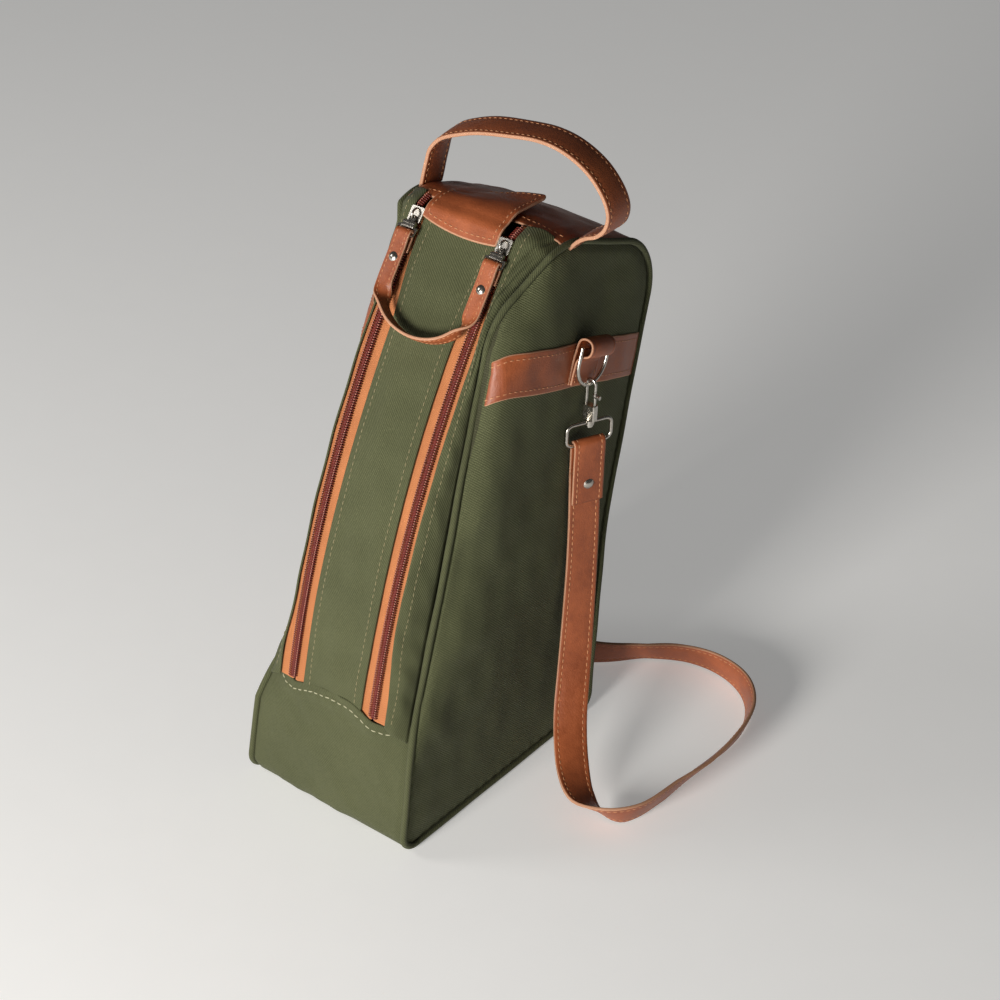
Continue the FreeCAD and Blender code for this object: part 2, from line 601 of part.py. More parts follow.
# ---------------------------------------------------------------- the long shoulder strap
# Its route between its ends, from the right of the bag to the left: middle of the strap, and the
# direction across it. It hangs down the right side, loops out over the floor on edge, passes behind
# the bag and rises to the hook on the left.
RIGHT_END_ACROSS = (0.41, 0.91, 0)
LEFT_END_ACROSS = (0, 1, 0)
ROUTE = [
    ((83.5, 80.5, 200), (0.41, 0.91, 0)),
    ((85.5, 78.0, 158), (0.44, 0.90, 0)),
    ((88.5, 72.5, 116), (0.52, 0.85, 0)),
    ((94.0, 63.0, 77), (0.62, 0.78, 0)),
    ((104, 46.0, 46), (0.70, 0.71, 0)),
    ((124, 23.0, 24), (0.68, 0.72, -0.10)),
    ((146, 4.5, 15.5), (0.40, 0.85, -0.35)),
    ((170, 5.5, 14), (-0.10, 0.60, -0.80)),
    ((185, 20, 14), (-0.42, 0.15, -0.90)),
    ((189, 58, 14), (-0.42, 0, -0.91)),
    ((192, 97, 14), (-0.62, 0, -0.78)),
    ((193, 135, 14), (-0.42, 0, -0.91)),
    ((187, 171, 14), (-0.25, -0.10, -0.96)),
    ((166, 200, 14), (-0.10, 0.05, -0.99)),
    ((134, 212, 14), (0, 0.25, -0.97)),
    ((102, 207, 14), (0, 0.45, -0.89)),
    ((76, 188, 14), (-0.25, 0.45, -0.86)),
    ((52, 163, 14), (-0.15, 0.25, -0.95)),
    ((20, 147, 14), (0, 0, -1)),
    ((-18, 143, 14), (0, 0, -1)),
    ((-55, 146, 14), (0, 0, -1)),
    ((-88, 142, 16), (-0.15, 0, -0.99)),
    ((-106, 121, 27), (-0.55, 0.20, -0.80)),
    ((-107, 103, 54), (-0.70, 0.60, -0.38)),
    ((-99, 92, 90), (-0.45, 0.88, 0)),
    ((-91, 85, 128), (-0.20, 0.98, 0)),
    ((-86, 81, 160), (0, 1, 0)),
    ((-84, 79.7, 192), (0, 1, 0)),
]


def strap_route():
    """The two ends set against the folded strap ends, and the hand-placed points between them."""
    facing = math.radians(STRAP_FACING_RIGHT)
    back = LOOP_WIRE + 0.3 + STRAP_THICK / 2
    top = BUCKLE_LOW - STRAP_START
    right = Vec(HANG.x - back * math.cos(facing), HANG.y + back * math.sin(facing), top)
    left = Vec(-HANG.x + back, HANG.y, top)
    points = [right] + [Vec(*place) for place, _ in ROUTE] + [left]
    across = [RIGHT_END_ACROSS] + [way for _, way in ROUTE] + [LEFT_END_ACROSS]
    return points, [Vec(*way).normalize() for way in across]


def cord_path(points):
    """Straight runs joined by arcs that are as large as the runs allow."""
    edges, radii, last = [], [], points[0]
    for i in range(1, len(points) - 1):
        before, here, after = points[i - 1], points[i], points[i + 1]
        inward, outward = (here - before), (after - here)
        shorter = min(inward.Length, outward.Length)
        a, b = inward.normalize(), outward.normalize()
        turn = a.getAngle(b)
        cut = 0.45 * shorter
        radius = cut / math.tan(turn / 2)
        radii.append(radius)
        sag = radius * (1 / math.cos(turn / 2) - 1)
        start, end = here - a * cut, here + b * cut
        middle = here + (b - a).normalize() * sag
        edges.append(Part.LineSegment(last, start).toShape())
        edges.append(Part.Arc(start, middle, end).toShape())
        last = end
    edges.append(Part.LineSegment(last, points[-1]).toShape())
    return Part.Wire(edges), radii


def shoulder_strap():
    points, across = strap_route()
    path, radii = cord_path(points)
    centres = path.discretize(Number=int(path.Length / STRAP_STEP))
    widths = []
    for centre in centres:
        spots = []
        for i in range(len(points) - 1):
            way = points[i + 1] - points[i]
            share = max(0.0, min(1.0, (centre - points[i]).dot(way) / way.dot(way)))
            spots.append(((points[i] + way * share - centre).Length, i, share))
        _, i, share = min(spots)
        widths.append(across[i] * (1 - share) + across[i + 1] * share)
    strap = ribbon(centres, widths, STRAP_WIDE, STRAP_THICK)
    print("strap length", round(path.Length, 1), "arc radii", [round(r) for r in radii])
    print("strap volume over section times length",
          round(strap.Volume / (STRAP_WIDE * STRAP_THICK * path.Length), 3))
    return strap


# ---------------------------------------------------------------- the whole bag
def build():
    nodes = {}
    ring = gusset()
    nodes["base_panel"] = box(-GUSSET_X, GUSSET_X, -101, 102, 0, CLOTH)
    nodes["base_board"] = box(-68, 68, -99, 100, CLOTH + SEAM, CLOTH + SEAM + 2.0)
    nodes["lower_front_panel"] = ring.common(box(-90, 90, -160, -101.5, 2.2, 60)).fuse(
        ring.common(box(-90, 90, -160, -60, 60, LOWER_SEAM_Z))).removeSplitter()
    nodes["back_panel"] = ring.common(box(-90, 90, 102.5, 200, 2.2, YOKE_BACK_Z))
    nodes["top_yoke"] = ring.common(box(-90, 90, YOKE_FRONT_Y, 200, YOKE_BACK_Z + SEAM, 460))
    nodes["front_panel"] = trimmed(band(ZIP_LINE, -CLOTH, 0, -ZIP_X + EDGE_HALF, ZIP_X - EDGE_HALF))
    nodes["tab_base"], nodes["tab_flap"] = tab()
    nodes["handle"] = handle_piece(HANDLE_LINE)
    nodes["handle_end_left"] = handle_end(HANDLE_END_LEFT, -GUSSET_X, -60)
    nodes["handle_end_right"] = handle_end(HANDLE_END_RIGHT, 66, GUSSET_X)
    nodes["pull_strap"] = on_zip(pull_strap(), SLIDER_REST)
    nodes["pull_rivets"] = on_zip(pull_rivets(), SLIDER_REST)
    nodes["shoulder_strap"] = shoulder_strap()

    tape_in, coil_in = zip_half(True)
    tape_out, coil_out = zip_half(False)
    pairs = {
        "side_panel": side_panel(), "piping": piping(), "front_strip": front_strip(),
        "zip_tape_inner": tape_in, "zip_coil_inner": coil_in,
        "zip_tape_outer": tape_out, "zip_coil_outer": coil_out,
        "slider": on_zip(slider(), SLIDER_REST), "pull_link": on_zip(pull_link(), SLIDER_REST),
        "side_band": side_band(), "ring_loop": ring_loop(), "d_ring": d_ring(),
        "snap_hook": snap_hook(), "hook_bolt": hook_bolt(),
    }
    for name, shape in pairs.items():
        nodes[name + "_right"] = shape
        nodes[name + "_left"] = mirrored(shape)
    fittings = {"swivel_loop": swivel_loop, "strap_end": strap_end, "strap_rivet": strap_rivet}
    for name, make in fittings.items():
        nodes[name + "_right"] = make(STRAP_FACING_RIGHT)
        nodes[name + "_left"] = mirrored(make(0))
    return nodes


def main():
    os.makedirs("parts", exist_ok=True)
    for name, shape in sorted(build().items()):
        if not shape.isValid() or shape.Volume <= 0:
            print("CHECK", name, shape.isValid(), round(shape.Volume, 1))
        shape.exportStep(f"parts/{name}.step")
    top = zip_place(SLIDER_REST)
    print("zip arc centre", [round(c, 2) for c in ZIP_CENTRE], "radius", round(ZIP_R, 2),
          "slider at", [round(c, 2) for c in top])
    rise = MOVING + LEATHER + GUSSET_RISE
    edge = shifted([FRONT_SHOULDER, CREST], rise)
    slope = (edge[1][1] - edge[0][1]) / (edge[1][0] - edge[0][0])
    hinge = TAB_SEAM_Y + MOVING / 2
    print("tab hinge", hinge, round(edge[0][1] + slope * (hinge - edge[0][0]), 2))
    print("hook axis", [round(c, 2) for c in HANG], "buckle bar z", round(BUCKLE_LOW, 2))


main()
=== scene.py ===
import math

import bpy
import numpy as np
from mathutils import Matrix, Vector


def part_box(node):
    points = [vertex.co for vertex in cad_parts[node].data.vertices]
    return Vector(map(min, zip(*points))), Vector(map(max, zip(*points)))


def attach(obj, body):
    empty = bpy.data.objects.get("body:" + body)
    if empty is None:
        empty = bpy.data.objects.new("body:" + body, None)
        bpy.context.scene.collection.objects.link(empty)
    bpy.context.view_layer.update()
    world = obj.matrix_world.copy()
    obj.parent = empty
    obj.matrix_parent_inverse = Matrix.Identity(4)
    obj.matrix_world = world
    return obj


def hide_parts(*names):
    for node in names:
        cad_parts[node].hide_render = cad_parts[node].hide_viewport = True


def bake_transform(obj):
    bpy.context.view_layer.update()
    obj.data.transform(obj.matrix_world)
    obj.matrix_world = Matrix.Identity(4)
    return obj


# The looks of a golf shoe bag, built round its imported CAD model. The bag faces -Y and +X is its right.
# Lengths are in millimetres in this script, and every piece is turned into metres as it is made.
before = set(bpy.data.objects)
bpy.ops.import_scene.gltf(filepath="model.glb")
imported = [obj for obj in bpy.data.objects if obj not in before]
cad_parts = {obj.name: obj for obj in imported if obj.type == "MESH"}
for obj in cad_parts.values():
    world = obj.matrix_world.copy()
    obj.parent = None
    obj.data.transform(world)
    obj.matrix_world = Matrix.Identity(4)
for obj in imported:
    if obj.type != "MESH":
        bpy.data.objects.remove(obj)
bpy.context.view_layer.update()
MM = 0.001

# ---------------------------------------------------------------- driving dimensions
HALF_WIDTH = 75.0
PIPE_R = 2.4
PIPE_X = HALF_WIDTH - 1.0
SEAM_X = 72.0
SIDE_LINE = [(-112.5, 2.8, 14), (-103, 96, 300), (-21, 402, 42), (57, 428, 55), (168, 384, 46),
             (121, 165, 260), (113.5, 2.8, 14)]          # (y, z, corner radius)
SIDE_CENTRE = (14.0, 205.0)
RISE = 0.8
CLOTH = 1.9
LEATHER = 1.5

ZIP_X = 38.0
ZIP_FOOT, ZIP_TOP, ZIP_RISE = (-103.0, 100.0), (40.5, 421.5), 20.0
FOLD = 12.0                 # middle of a zip to the folded cloth edge beside it
TAPE_DROP = 2.2
COIL_PITCH = 1.8
HANDLE_Y, HANDLE_SIZE = 78.5, (25.0, 2.8)

BAND_REF, BAND_SLOPE, BAND_TALL = (55.0, 331.5), -17.0, 31.0
BAND_LATE = {1: 0, -1: 24.0}                # how far behind the front seam a side's band starts
LOOP_ALONG, LOOP_X, LOOP_SIZE = 24.6, 84.3, (29.0, 1.7)
HANG = (84.3, 79.75, 311.52)
BUCKLE_Z = 263.1
STRAP_WIDE, STRAP_THICK = 25.0, 2.6


# ---------------------------------------------------------------- small helpers
def smooth(t):
    """A soft step: 0 up to 0, and 1 from 1."""
    t = np.clip(t, 0, 1)
    return t * t * (3 - 2 * t)


def bell(t):
    """1 at 0, and softly down to 0 on both sides."""
    return np.exp(-t ** 2)


def unit(v):
    """The directions of vectors."""
    return v / np.maximum(np.linalg.norm(v, axis=-1, keepdims=True), 1e-9)


def run_of(path):
    """The length along a path, at each of its points."""
    return np.concatenate([[0], np.cumsum(np.linalg.norm(np.diff(path, axis=0), axis=-1))])


def read(s, run, table):
    """The rows of a table at some lengths of its run."""
    return np.stack([np.interp(s, run, column) for column in table.T], -1)


def circles(side, up, count):
    """A unit circle of that many points round each point of a path, from two directions across it."""
    angle = np.linspace(0, 2 * math.pi, count, endpoint=False)
    return side[:, None] * np.cos(angle)[:, None] + up[:, None] * np.sin(angle)[:, None]


def pair(a, b):
    """Every value of a with every value of b, as a grid of pairs."""
    return np.stack(np.meshgrid(a, b, indexing="ij"), -1)


def quads(ids):
    """Faces between neighbouring rings of vertex numbers."""
    after = np.roll(ids, -1, 1)
    return np.stack([ids[:-1], ids[1:], after[1:], after[:-1]], -1).reshape(-1, 4)


# ---------------------------------------------------------------- lines
def shifted(points, shift, closed):
    count = len(points)
    sides = []
    for i in range(count if closed else count - 1):
        a, b = np.array(points[i][:2]), np.array(points[(i + 1) % count][:2])
        way = (b - a) / np.linalg.norm(b - a)
        sides.append((a + shift * np.array([-way[1], way[0]]), way, np.linalg.norm(b - a)))
    moved = []
    for i in range(count):
        if not closed and i in (0, count - 1):
            start, way, length = sides[0] if i == 0 else sides[-1]
            end = start if i == 0 else start + way * length
            moved.append((end[0], end[1], 0))
            continue
        (p, d, _), (q, e, _) = sides[i - 1], sides[i]
        turn = d[0] * e[1] - d[1] * e[0]
        along = ((q - p)[0] * e[1] - (q - p)[1] * e[0]) / turn
        corner = p + d * along
        radius = points[i][2] + (-shift if turn > 0 else shift)
        moved.append((corner[0], corner[1], max(radius, 0.01)))
    return moved


class Line:
    """A line through (y, z) corners that are rounded by their radii, read by its length."""

    def __init__(self, points, closed=False, shift=0.0):
        corners = shifted(points, shift, closed) if shift else points
        count = len(corners)
        run = []
        for i, (u, v, radius) in enumerate(corners):
            if not radius or (not closed and i in (0, count - 1)):
                run.append((u, v))
                continue
            here = np.array([u, v])
            a = here - np.array(corners[i - 1][:2])
            b = np.array(corners[(i + 1) % count][:2]) - here
            a, b = a / np.linalg.norm(a), b / np.linalg.norm(b)
            turn = math.atan2(a[0] * b[1] - a[1] * b[0], a @ b)
            cut = radius * math.tan(abs(turn) / 2)
            side = math.copysign(1, turn)
            centre = here - a * cut + radius * side * np.array([-a[1], a[0]])
            first = math.atan2(*(here - a * cut - centre)[::-1])
            steps = max(4, int(radius * abs(turn)))
            for k in range(steps + 1):
                angle = first + turn * k / steps
                run.append(tuple(centre + radius * np.array([math.cos(angle), math.sin(angle)])))
        if closed:
            run.append(run[0])
        self.p = np.array(run)
        self.s = run_of(self.p)
        self.length = self.s[-1]

    def at(self, s):
        return read(s, self.s, self.p)

    def out(self, s):
        """Unit direction to the left of the line, which is away from the bag."""
        ahead = unit(self.at(np.minimum(s + 1.0, self.length)) - self.at(np.maximum(s - 1.0, 0)))
        return np.stack([-ahead[..., 1], ahead[..., 0]], -1)

    def where(self, axis, value, part=(0.0, 1.0)):
        """The length at which one coordinate is nearest to a value, inside a share of the line."""
        s = np.linspace(part[0] * self.length, part[1] * self.length, 4000)
        return float(s[np.argmin(abs(self.at(s)[:, axis] - value))])


def zip_corners():
    """The line that both zips follow: one large arc, and a small bend on to the top."""
    (y0, z0), (y1, z1) = ZIP_FOOT, ZIP_TOP
    chord = math.hypot(y1 - y0, z1 - z0)
    radius = chord ** 2 / (8 * ZIP_RISE) + ZIP_RISE / 2
    half = math.asin(chord / 2 / radius)
    lean = math.atan2(z1 - z0, y1 - y0)
    reach = radius * math.tan(half)
    bend = (y0 + reach * math.cos(lean + half), z0 + reach * math.sin(lean + half), radius)
    (ya, za, _), (yb, zb, _) = shifted([SIDE_LINE[2], SIDE_LINE[3]], RISE, False)
    rise, slope = (zb - za) / (yb - ya), math.tan(lean - half)
    y = (za - rise * ya - z1 + slope * y1) / (slope - rise)
    return [(y0, z0, 0), bend, (y, z1 + slope * (y - y1), 5.0), (58.0, za + rise * (58.0 - ya), 0)]


SIDE = Line(SIDE_LINE, closed=True)
RIM = Line(SIDE_LINE, closed=True, shift=-PIPE_R + 0.6)      # where the side cloth goes under its welt
GUSSET = Line(SIDE_LINE, closed=True, shift=RISE)
ZIP = Line(zip_corners())
FRONT_TOP = GUSSET.where(0, 56.0, (0.25, 0.5))
ZIP_LOW = ZIP.where(1, 96.0)


class Slump:
    """How an empty bag stands: from its base to its top, its side seams are drawn in and back."""

    # (y, z) of places on the side line, and how far the seam is drawn there
    PULLS = [(-112, 10, 0), (-106, 70, 3), (-95, 127, 19), (-75, 200, 27), (-48, 300, 33),
             (-21, 396, 42), (10, 411, 31), (40, 421, 13), (80, 420, 9), (160, 388, 8), (150, 300, 12),
             (122, 170, 8), (114, 40, 0), (0, 3, 0)]
    WAY = np.array([-0.52, 0.64, -0.56])
    CELL = 4.0
    ROUNDS = 14                 # of evening out
    SEAM_REACH = 14.0           # up to here from a seam, the cloth moves as the seam does

    def __init__(self, strength, reach):
        self.reach = reach
        rim = RIM.at(np.linspace(0, RIM.length, 2000, endpoint=False))
        angle = self.angle_of(*rim.T)
        order = np.argsort(angle)
        self.angle, self.radius = angle[order], self.distance(*rim.T)[order]
        y, z, pull = np.array(self.PULLS, float).T
        self.pull_angle, self.pull = self.angle_of(y, z), pull * strength
        self.ys, self.zs = np.arange(-130.0, 184.0, self.CELL), np.arange(-12.0, 444.0, self.CELL)
        gy, gz = np.meshgrid(self.ys, self.zs, indexing="ij")
        field = self.at(gy, gz) * self.fade(self.gap(gy, gz))
        for _ in range(self.ROUNDS):
            for axis in (0, 1):
                field = (np.roll(field, 1, axis) + field + np.roll(field, -1, axis)) / 3
        self.field = field

    def angle_of(self, y, z):
        return np.arctan2(z - SIDE_CENTRE[1], y - SIDE_CENTRE[0])

    def distance(self, y, z):
        return np.hypot(y - SIDE_CENTRE[0], z - SIDE_CENTRE[1])

    def at(self, y, z):
        return np.interp(self.angle_of(y, z), self.pull_angle, self.pull, period=2 * math.pi)

    def gap(self, y, z):
        """Distance to the seam round a side panel, along the line from the panel's centre."""
        rim = np.interp(self.angle_of(y, z), self.angle, self.radius, period=2 * math.pi)
        return rim - self.distance(y, z)

    def fade(self, gap):
        return np.clip(1 - np.clip(gap, 0, None) / self.reach, 0, 1) ** 2

    def softened(self, y, z):
        """The pull away from the seams, evened out so that the cloth shows no ray from its centre."""
        i = np.clip((y - self.ys[0]) / self.CELL, 0, len(self.ys) - 1.001)
        k = np.clip((z - self.zs[0]) / self.CELL, 0, len(self.zs) - 1.001)
        i0, k0 = i.astype(int), k.astype(int)
        a, b = i - i0, k - k0
        near = self.field[i0, k0] * (1 - a) + self.field[i0 + 1, k0] * a
        far = self.field[i0, k0 + 1] * (1 - a) + self.field[i0 + 1, k0 + 1] * a
        return near * (1 - b) + far * b

    def drawn(self, points, pull):
        """Moves points by a pull, inwards on their own side of the bag."""
        way = np.where(points[..., :1] >= 0, 1.0, -1.0) * [1, 0, 0] + [0, 1, 1]
        return points + pull[..., None] * way * self.WAY

    def moved(self, points, weight):
        return self.drawn(points, self.at(points[..., 1], points[..., 2]) * weight)

    def side(self, points):
        """Moves points that lie on a side panel."""
        y, z = points[..., 1], points[..., 2]
        gap = np.clip(self.gap(y, z), 0, None)
        edge = np.exp(-gap / self.SEAM_REACH)
        pull = edge * self.at(y, z) * self.fade(gap) + (1 - edge) * self.softened(y, z)
        return self.drawn(points, pull)


SLUMP = {1: Slump(1.0, 75.0), -1: Slump(1.36, 150.0)}     # by side: the left one is drawn in more


def slumped(points, weight):
    """Moves points of a piece that spans the bag, each by the slump of its own side."""
    right = points[..., :1] >= 0
    return np.where(right, SLUMP[1].moved(points, weight), SLUMP[-1].moved(points, weight))


def waves(points, size, seed, count=14):
    """Soft noise of about unit height and of that size in millimetres, the same on every run."""
    rng = np.random.default_rng(seed)
    total = np.zeros(points.shape[:-1])
    for _ in range(count):
        way = unit(rng.normal(size=3))
        turns = points @ way * (2 * math.pi / size) * rng.uniform(0.6, 1.7)
        total += np.sin(turns + rng.uniform(0, 6.28))
    return total / math.sqrt(count / 2)


# ---------------------------------------------------------------- meshes
def linked(name, data):
    """A new object in the scene."""
    holder = bpy.data.objects.new(name, data)
    bpy.context.scene.collection.objects.link(holder)
    return holder


def mesh_piece(name, verts, faces, materials, body, face_material=None, uv=None):
    """Verts in millimetres, faces as an array of quads, uv in millimetres of cloth."""
    mesh = bpy.data.meshes.new(name)
    faces = faces if isinstance(faces, list) else faces.tolist()
    mesh.from_pydata((np.asarray(verts) * MM).tolist(), [], faces)
    for material in materials:
        mesh.materials.append(material)
    mesh.polygons.foreach_set("use_smooth", [True] * len(mesh.polygons))
    if face_material is not None:
        mesh.polygons.foreach_set("material_index", np.asarray(face_material, np.int32))
    if uv is not None:
        layer = mesh.uv_layers.new(name="cloth")
        corner = np.zeros(len(mesh.loops), np.int32)
        mesh.loops.foreach_get("vertex_index", corner)
        layer.data.foreach_set("uv", (np.asarray(uv, float) * MM)[corner].astype(np.float32).ravel())
    mesh.validate()
    mesh.update()
    piece = linked(name, mesh)
    if body:
        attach(piece, body)
    return piece


def normals_of(grid):
    return unit(np.cross(np.gradient(grid, axis=0), np.gradient(grid, axis=1)))


def slab(name, grid, thick, materials, body, uv=None, rim_steps=3):
    """A sheet of some thickness: grid is its outer face, seen from the side that its normals point to.
    The rim is rounded. The face, back and rim take the first, second and third material."""
    nu, nv = grid.shape[:2]
    n = normals_of(grid)
    out = np.zeros_like(grid)
    du, dv = (unit(np.gradient(grid, axis=axis)) for axis in (0, 1))
    out[0] -= du[0]
    out[-1] += du[-1]
    out[:, 0] -= dv[:, 0]
    out[:, -1] += dv[:, -1]
    out = unit(out)
    ring = [(i, 0) for i in range(nu)] + [(nu - 1, j) for j in range(1, nv)]
    ring += [(i, nv - 1) for i in range(nu - 2, -1, -1)] + [(0, j) for j in range(nv - 2, 0, -1)]
    ids = np.arange(nu * nv).reshape(nu, nv)
    verts = [grid.reshape(-1, 3), (grid - n * thick).reshape(-1, 3)]
    if uv is None:
        uv = np.zeros((nu, nv, 2))
        uv[1:, :, 0] = np.cumsum(np.linalg.norm(np.diff(grid, axis=0), axis=-1), 0)
        uv[:, 1:, 1] = np.cumsum(np.linalg.norm(np.diff(grid, axis=1), axis=-1), 1)
    uvs = [uv.reshape(-1, 2), uv.reshape(-1, 2)]
    ri, rj = np.array(ring).T
    rim_n, rim_out, half = n[ri, rj], out[ri, rj], thick / 2
    loops = [ids[ri, rj]]
    base = 2 * nu * nv
    for k in range(1, rim_steps + 1):
        angle = math.pi * k / (rim_steps + 1)
        middle = grid[ri, rj] - rim_n * half
        verts.append(middle + rim_n * (half * math.cos(angle)) + rim_out * (half * math.sin(angle)))
        uvs.append(uv[ri, rj] + [[0.5 * k, 0]])
        loops.append(base + np.arange(len(ring)))
        base += len(ring)
    loops.append(loops[0] + nu * nv)
    a, b, c, d = ids[:-1, :-1], ids[1:, :-1], ids[1:, 1:], ids[:-1, 1:]
    front = np.stack([a, b, c, d], -1).reshape(-1, 4)
    faces, kinds = [front, front[:, ::-1] + nu * nv], [0] * len(front) + [1] * len(front)
    for first, second in zip(loops[:-1], loops[1:]):
        faces.append(np.stack([np.roll(first, -1), first, second, np.roll(second, -1)], -1))
        kinds += [2] * len(first)
    return mesh_piece(name, np.concatenate(verts), np.concatenate(faces), materials, body, kinds,
                      np.concatenate(uvs))


def frames_along(path, across):
    """Unit directions across a strap and through it, at each point of its path."""
    ahead = unit(np.gradient(path, axis=0))
    across = unit(across - ahead * np.sum(across * ahead, 1, keepdims=True))
    return across, np.cross(ahead, across)


def strap(name, path, across, wide, thick, materials, body, slot="tan_leather", groove=3.2, crown=0.25,
          capped=(True, True)):
    """A leather strap of two bonded layers: smooth faces, a pressed line under each row of stitches,
    and pale cut edges. The first material is the faces', the second the edges'. An end that isn't
    capped goes on in another piece."""
    side, through = frames_along(path, across)
    half, h, lip = wide / 2, thick / 2, 0.9
    face = [(-half + 0.35, h - 0.10), (-half + groove - lip, h), (-half + groove, h - 0.22),
            (-half + groove + lip, h), (-half * 0.3, h + crown)]
    face += [(-x, y) for x, y in face[::-1]]
    rim = [(half, h - 0.45), (half + 0.06, 0), (half, -h + 0.45)]
    profile = face + rim + [(x, -y) for x, y in face[::-1]] + [(-x, -y) for x, y in rim]
    count, n, last = len(profile), len(path), len(face) - 1
    on_edge = [last <= i % (count // 2) for i in range(count)]
    px, py = np.array(profile).T
    verts = path[:, None] + side[:, None] * px[:, None] + through[:, None] * py[:, None]
    uv = pair(run_of(path), px)
    faces = quads(np.arange(n * count).reshape(n, count)).tolist()
    kinds = np.tile(on_edge, n - 1).astype(int).tolist()
    ends = [end for end, cap in zip(((0, 1), (n - 1, -1)), capped) if cap]
    for row, turn in ends:
        start = row * count
        low = [start + count - 4 - i for i in range(last + 1)]
        caps = [[start + i, start + i + 1, low[i + 1], low[i]] for i in range(last)]
        caps.append([start + last + i for i in range(5)])
        caps.append([start] + [start + count - 4 + i for i in range(4)])
        faces += [cap[::turn] for cap in caps]
        kinds += [1] * len(caps)
    return mesh_piece(name, verts.reshape(-1, 3), faces, materials, body, kinds, uv.reshape(-1, 2))


def tube(name, path, radius, material, body, sides=12):
    """A closed round cord."""
    ahead = unit(np.roll(path, -1, 0) - np.roll(path, 1, 0))
    side = np.cross(ahead, [1.0, 0, 0])
    weak = np.linalg.norm(side, axis=1) < 1e-3
    side[weak] = np.cross(ahead[weak], [0, 0, 1.0])
    side = unit(side)
    verts = path[:, None] + circles(side, np.cross(ahead, side), sides) * radius[:, None, None]
    n = len(path)
    angle = np.linspace(0, 2 * math.pi, sides, endpoint=False)
    uv = pair(run_of(path), angle * PIPE_R)
    ids = np.arange(n * sides).reshape(n, sides)
    faces = quads(np.concatenate([ids, ids[:1]]))[:, ::-1]
    return mesh_piece(name, verts.reshape(-1, 3), faces, [material], body, None, uv.reshape(-1, 2))


def resample(path, step):
    """The same path with its points at even distances."""
    path = np.asarray(path, float)
    run = run_of(path)
    count = max(2, int(round(run[-1] / step)) + 1)
    return read(np.linspace(0, run[-1], count), run, path)


def catmull(points, step):
    """A smooth path through the points, with a point every step of its length."""
    p = np.asarray(points, float)
    p = np.concatenate([[2 * p[0] - p[1]], p, [2 * p[-1] - p[-2]]])
    run = []
    for i in range(1, len(p) - 2):
        t = np.linspace(0, 1, 24, endpoint=False)[:, None]
        a, b, c, d = p[i - 1], p[i], p[i + 1], p[i + 2]
        bend = (2 * a - 5 * b + 4 * c - d) * t ** 2 + (3 * b - a - 3 * c + d) * t ** 3
        run.append(0.5 * (2 * b + (c - a) * t + bend))
    return resample(np.concatenate(run + [p[-2:-1]]), step)


def stitches(name, rows, material, body, pitch=4.6, share=0.74, radius=0.36):
    """Short threads that dip into the surface at both ends. Each row is (points, normals)."""
    ring = 5
    stations = np.linspace(-1, 1, 6)
    girth = np.sqrt(np.maximum(1 - np.abs(stations) ** 4, 0)) * 0.92 + 0.08
    lift = 0.30 - 0.75 * stations ** 2
    ids = np.arange(len(stations) * ring).reshape(-1, ring)
    verts, faces = [], []
    for points, normals in rows:
        run = run_of(points)
        count = max(1, int(run[-1] / pitch))
        for k in range(count):
            s = (k + 0.5) * run[-1] / count + stations * pitch * share / 2
            centre = read(s, run, points)
            up = unit(read(s, run, normals))
            side = np.cross(unit(centre[-1] - centre[0]), up)
            centre = centre + up * (lift * radius)[:, None]
            thread_and_highlight = circles(side, up, ring) * (girth * radius)[:, None, None]
            faces.append(quads(ids + len(verts) * ids.size))
            verts.append((centre[:, None] + thread_and_highlight).reshape(-1, 3))
    verts, faces = np.concatenate(verts), np.concatenate(faces)[:, ::-1]
    return mesh_piece(name, verts, faces, [material], body)


def inset_row(grid, inset, from_end=False, skip=2):
    """A row of stitches at one distance from an edge of a sheet."""
    up = normals_of(grid)
    row = []
    for points, normals in zip(grid[skip:-skip], up[skip:-skip]):
        line = np.concatenate([points, normals], 1)[::-1 if from_end else 1]
        row.append(read(inset, run_of(line[:, :3]), line))
    row = np.array(row)
    return row[:, :3], row[:, 3:]


STITCH_SUNK = 0.2                # how far the threads lie in the leather


def strap_rows(path, across, wide, thick, inset=3.2):
    """Both rows of stitches on both faces of a strap."""
    side, through = frames_along(path, across)
    sideways, up = side * (wide / 2 - inset), through * (thick / 2 - STITCH_SUNK)
    return [(path + sideways * edge + up * face, through * face) for edge in (-1, 1) for face in (-1, 1)]


# ---------------------------------------------------------------- materials
TWILL_THREAD, TWILL_STEP = 0.7, 3.0          # width of a thread in millimetres, threads in a step
TAPE_WARP, TAPE_WEFT, TAPE_FOLD = 0.9, 0.7, 2.0


